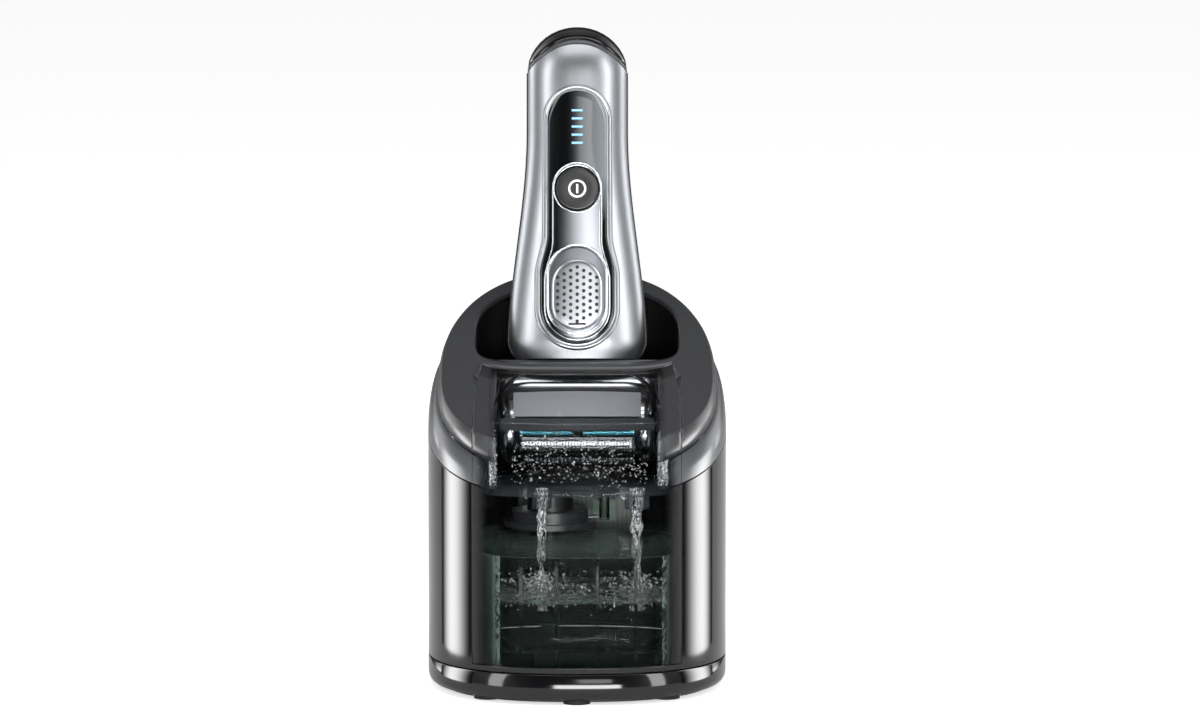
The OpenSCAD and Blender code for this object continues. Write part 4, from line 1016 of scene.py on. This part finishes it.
# ---------------------------------------------------------------- clear parts of the wash system
# The wash bowl and the cartridge are clear mouldings in a dark housing: their faces all but vanish,
# and what shows is the gloss along their edges and radii, where the view grazes the wall. That edge
# gloss is partly a painted highlight: the base colour turns pale and the alpha rises at grazing angles.
def painted_edge_gloss(name, face, face_alpha, rim, rim_alpha, roughness, waviness=0.0):
    made = bpy.data.materials.new(name)
    made.use_nodes = True
    tree = made.node_tree
    shader = tree.nodes["Principled BSDF"]
    place = add(tree, "ShaderNodeTexCoord")
    flow = add(tree, "ShaderNodeTexNoise", {"Scale": 140.0, "Detail": 4.0, "Distortion": 1.2}, Vector=place.outputs["Object"])
    bump = add(tree, "ShaderNodeBump", {"Strength": waviness, "Distance": 0.001}, Height=flow.outputs["Fac"])
    graze = add(tree, "ShaderNodeFresnel", {"IOR": 1.5}, Normal=bump.outputs[0])
    amount = add(tree, "ShaderNodeMapRange", {"From Min": 0.05, "From Max": 0.6}, Value=graze.outputs[0])
    cover = add(tree, "ShaderNodeMapRange", {"To Min": face_alpha, "To Max": rim_alpha}, Value=amount.outputs[0])
    tree.links.new(cover.outputs[0], shader.inputs["Alpha"])
    # painted highlight: the base colour runs from the face colour to the pale rim colour where the view grazes
    shade = add(tree, "ShaderNodeMixRGB", {"Color1": colour(face), "Color2": colour(rim)}, Fac=amount.outputs[0])
    tree.links.new(shade.outputs[0], shader.inputs["Base Color"])
    spread = add(tree, "ShaderNodeMapRange", {"To Min": roughness * 0.6, "To Max": roughness * 1.5}, Value=flow.outputs["Fac"])
    tree.links.new(spread.outputs[0], shader.inputs["Roughness"])
    tree.links.new(bump.outputs[0], shader.inputs["Normal"])
    return made


# each pale rim colour below is a painted highlight colour
dress("wash_bowl", painted_edge_gloss("clear_bowl", "#0a0d10", 0.03, "#8f9aa3", 0.75, 0.06, 0.1))
dress("drain_spouts", painted_edge_gloss("clear_spout", "#0a0d10", 0.15, "#8f9aa3", 0.8, 0.06, 0.1))
tub_clear = painted_edge_gloss("clear_cartridge", "#1b2825", 0.09, "#cfe3dc", 0.95, 0.04, 0.25)
dress("cartridge_tub", tub_clear)
dress("cartridge_lid", painted_edge_gloss("clear_lid", "#16211e", 0.05, "#5d706a", 0.45, 0.04, 0.25))

# the fluid: a clear green-grey liquid, its surface thrown into rings where the two streams land
tub_low, tub_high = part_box("cleaning_fluid")
drains = ((-13, -1, 2.0), (22, -1, 2.3))
level = tub_high.z / MM - 1.2
centre = (tub_low + tub_high) / 2 / MM
tub_a, tub_b = (tub_high.x - tub_low.x) / 2 / MM, (tub_high.y - tub_low.y) / 2 / MM


def surface_z(x, y):
    z = level
    for px, py, _ in drains:
        away = sqrt((x - px) ** 2 + (y - py) ** 2)
        z += 1.5 * cos(away * 1.1) / (1 + away * 0.28) + (1.1 if away < 3 else 0)
    return z + 0.35 * sin(x * 0.7 + 1) * cos(y * 0.5) + 0.25 * sin(x * 1.9 + y * 1.3)


fluid = bmesh.new()
rows = []
for t in (1, 0.9, 0.8, 0.7, 0.6, 0.5, 0.4, 0.3, 0.2, 0.1, 0.02):
    def place(f, t=t):
        x, y = oval(tub_a * t, tub_b * t, 3.4, f)
        return Vector((centre.x + x, centre.y + y, surface_z(centre.x + x, centre.y + y))) * MM
    rows.append(hoop(fluid, 120, place))
rows.insert(0, hoop(fluid, 120, lambda f: Vector((
    centre.x + oval(tub_a, tub_b, 3.4, f)[0], centre.y + oval(tub_a, tub_b, 3.4, f)[1], tub_low.z / MM)) * MM))
bridge(fluid, rows)
bmesh.ops.contextual_create(fluid, geom=rows[-1])
bmesh.ops.contextual_create(fluid, geom=rows[0])
finish_piece("fluid_body", fluid, painted_edge_gloss("cleaning_liquid", "#0d1715", 0.16, "#bfd2cc", 0.95, 0.03, 0.5),
             "base", "fluid", "cleaning_fluid")

# ---------------------------------------------------------------- streams and splashes
# Fluid runs back from the bowl's two drains in ropes that twist as they thin, and breaks into drops
# round the cassette and where it lands.
water = bpy.data.materials.new("running_fluid")
water.use_nodes = True
tree = water.node_tree
shader = tree.nodes["Principled BSDF"]
shader.inputs["Roughness"].default_value = 0.05
shader.inputs["IOR"].default_value = 1.34
place = add(tree, "ShaderNodeTexCoord")
lay = add(tree, "ShaderNodeMapping", {"Scale": (1, 1, 0.3)}, Vector=place.outputs["Object"])
# white flecks: partly foam, partly painted highlights
foam_and_glint = add(tree, "ShaderNodeTexNoise", {"Scale": 900.0, "Detail": 3.0, "Distortion": 2.0}, Vector=lay.outputs[0])
sharp = add(tree, "ShaderNodeMapRange", {"From Min": 0.42, "From Max": 0.62}, Value=foam_and_glint.outputs["Fac"])
shade = add(tree, "ShaderNodeMixRGB", {"Color1": colour("#222a2c"), "Color2": colour("#f3f8f8")}, Fac=sharp.outputs[0])
tree.links.new(shade.outputs[0], shader.inputs["Base Color"])
cover = add(tree, "ShaderNodeMapRange", {"To Min": 0.25, "To Max": 0.95}, Value=sharp.outputs[0])
tree.links.new(cover.outputs[0], shader.inputs["Alpha"])
# painted glow: the white flecks emit light although the fluid is no lamp
glow = add(tree, "ShaderNodeMapRange", {"To Min": 0.0, "To Max": 0.35}, Value=sharp.outputs[0])
tree.links.new(shade.outputs[0], shader.inputs["Emission Color"])
tree.links.new(glow.outputs[0], shader.inputs["Emission Strength"])

bowl_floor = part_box("wash_bowl")[0].z / MM + 1.8
for index, (px, py, wide) in enumerate(drains):
    rope = bmesh.new()
    rows = []
    for k in range(72):
        t = k / 71
        z = mix(bowl_floor + 0.5, level - 8, t)
        slim = mix(1, 0.55, min(1, t * 1.6)) * (1 + 0.16 * sin(t * 37 + index * 2)) + 0.7 * max(0, t - 0.8) * 5 * 0.4

        def place(f, z=z, s=slim, t=t):
            ripple = 1 + 0.22 * sin(2 * f + t * 26) + 0.1 * sin(5 * f - t * 40)
            drift = 0.5 * sin(t * 9 + index)
            return Vector((px + drift * t + wide * s * ripple * cos(f), py + wide * s * ripple * sin(f), z)) * MM
        rows.append(hoop(rope, 20, place))
    bridge(rope, rows)
    bmesh.ops.contextual_create(rope, geom=rows[0])
    bmesh.ops.contextual_create(rope, geom=rows[-1])
    made = finish_piece(f"stream_{'left' if index == 0 else 'right'}", rope, water, None, "fluid")
    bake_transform(made)


def scatter(name, body, count, seed, where):
    """Drops and short streaks of fluid; where(chance) gives a place, a size and a stretch."""
    chance = random.Random(seed)
    drops = bmesh.new()
    for _ in range(count):
        spot, size, stretch = where(chance)
        turn = Matrix.Rotation(chance.uniform(0, pi), 4, Vector((chance.uniform(-1, 1), 0.2, chance.uniform(-1, 1))))
        bmesh.ops.create_icosphere(drops, subdivisions=1, radius=1, matrix=Matrix.Translation(spot) @ turn
                                   @ Matrix.Diagonal((size * stretch, size, size * 0.8, 1)))
    return finish_piece(name, drops, water, body, "fluid")


def in_bowl(chance):
    side = chance.choice((-1, -1, 1, 1, 1, 0))
    x = side * chance.uniform(29.8, 34) if side else chance.uniform(-24, 26)
    y = chance.uniform(-3.8, 6) if side else chance.uniform(-5.4, -2.6)
    x = max(-32, min(33, x))
    return Vector((x, y, chance.triangular(71.8, 93, 80))) * MM, chance.uniform(0.08, 0.4) * MM, chance.uniform(1, 2.2)


def in_tub(chance):
    px, py, _ = chance.choice(drains)
    away = chance.expovariate(1 / 7)
    turn = chance.uniform(0, 2 * pi)
    x = max(-34, min(37, px + away * cos(turn)))
    y = max(-38, min(25, py + away * sin(turn)))
    return Vector((x, y, level + chance.triangular(-8, 7, 0))) * MM, chance.uniform(0.1, 0.5) * MM, chance.uniform(1, 2.5)


scatter("bowl_splash", "housing", 2600, 7, in_bowl)
scatter("tub_splash", "base", 1500, 11, in_tub)
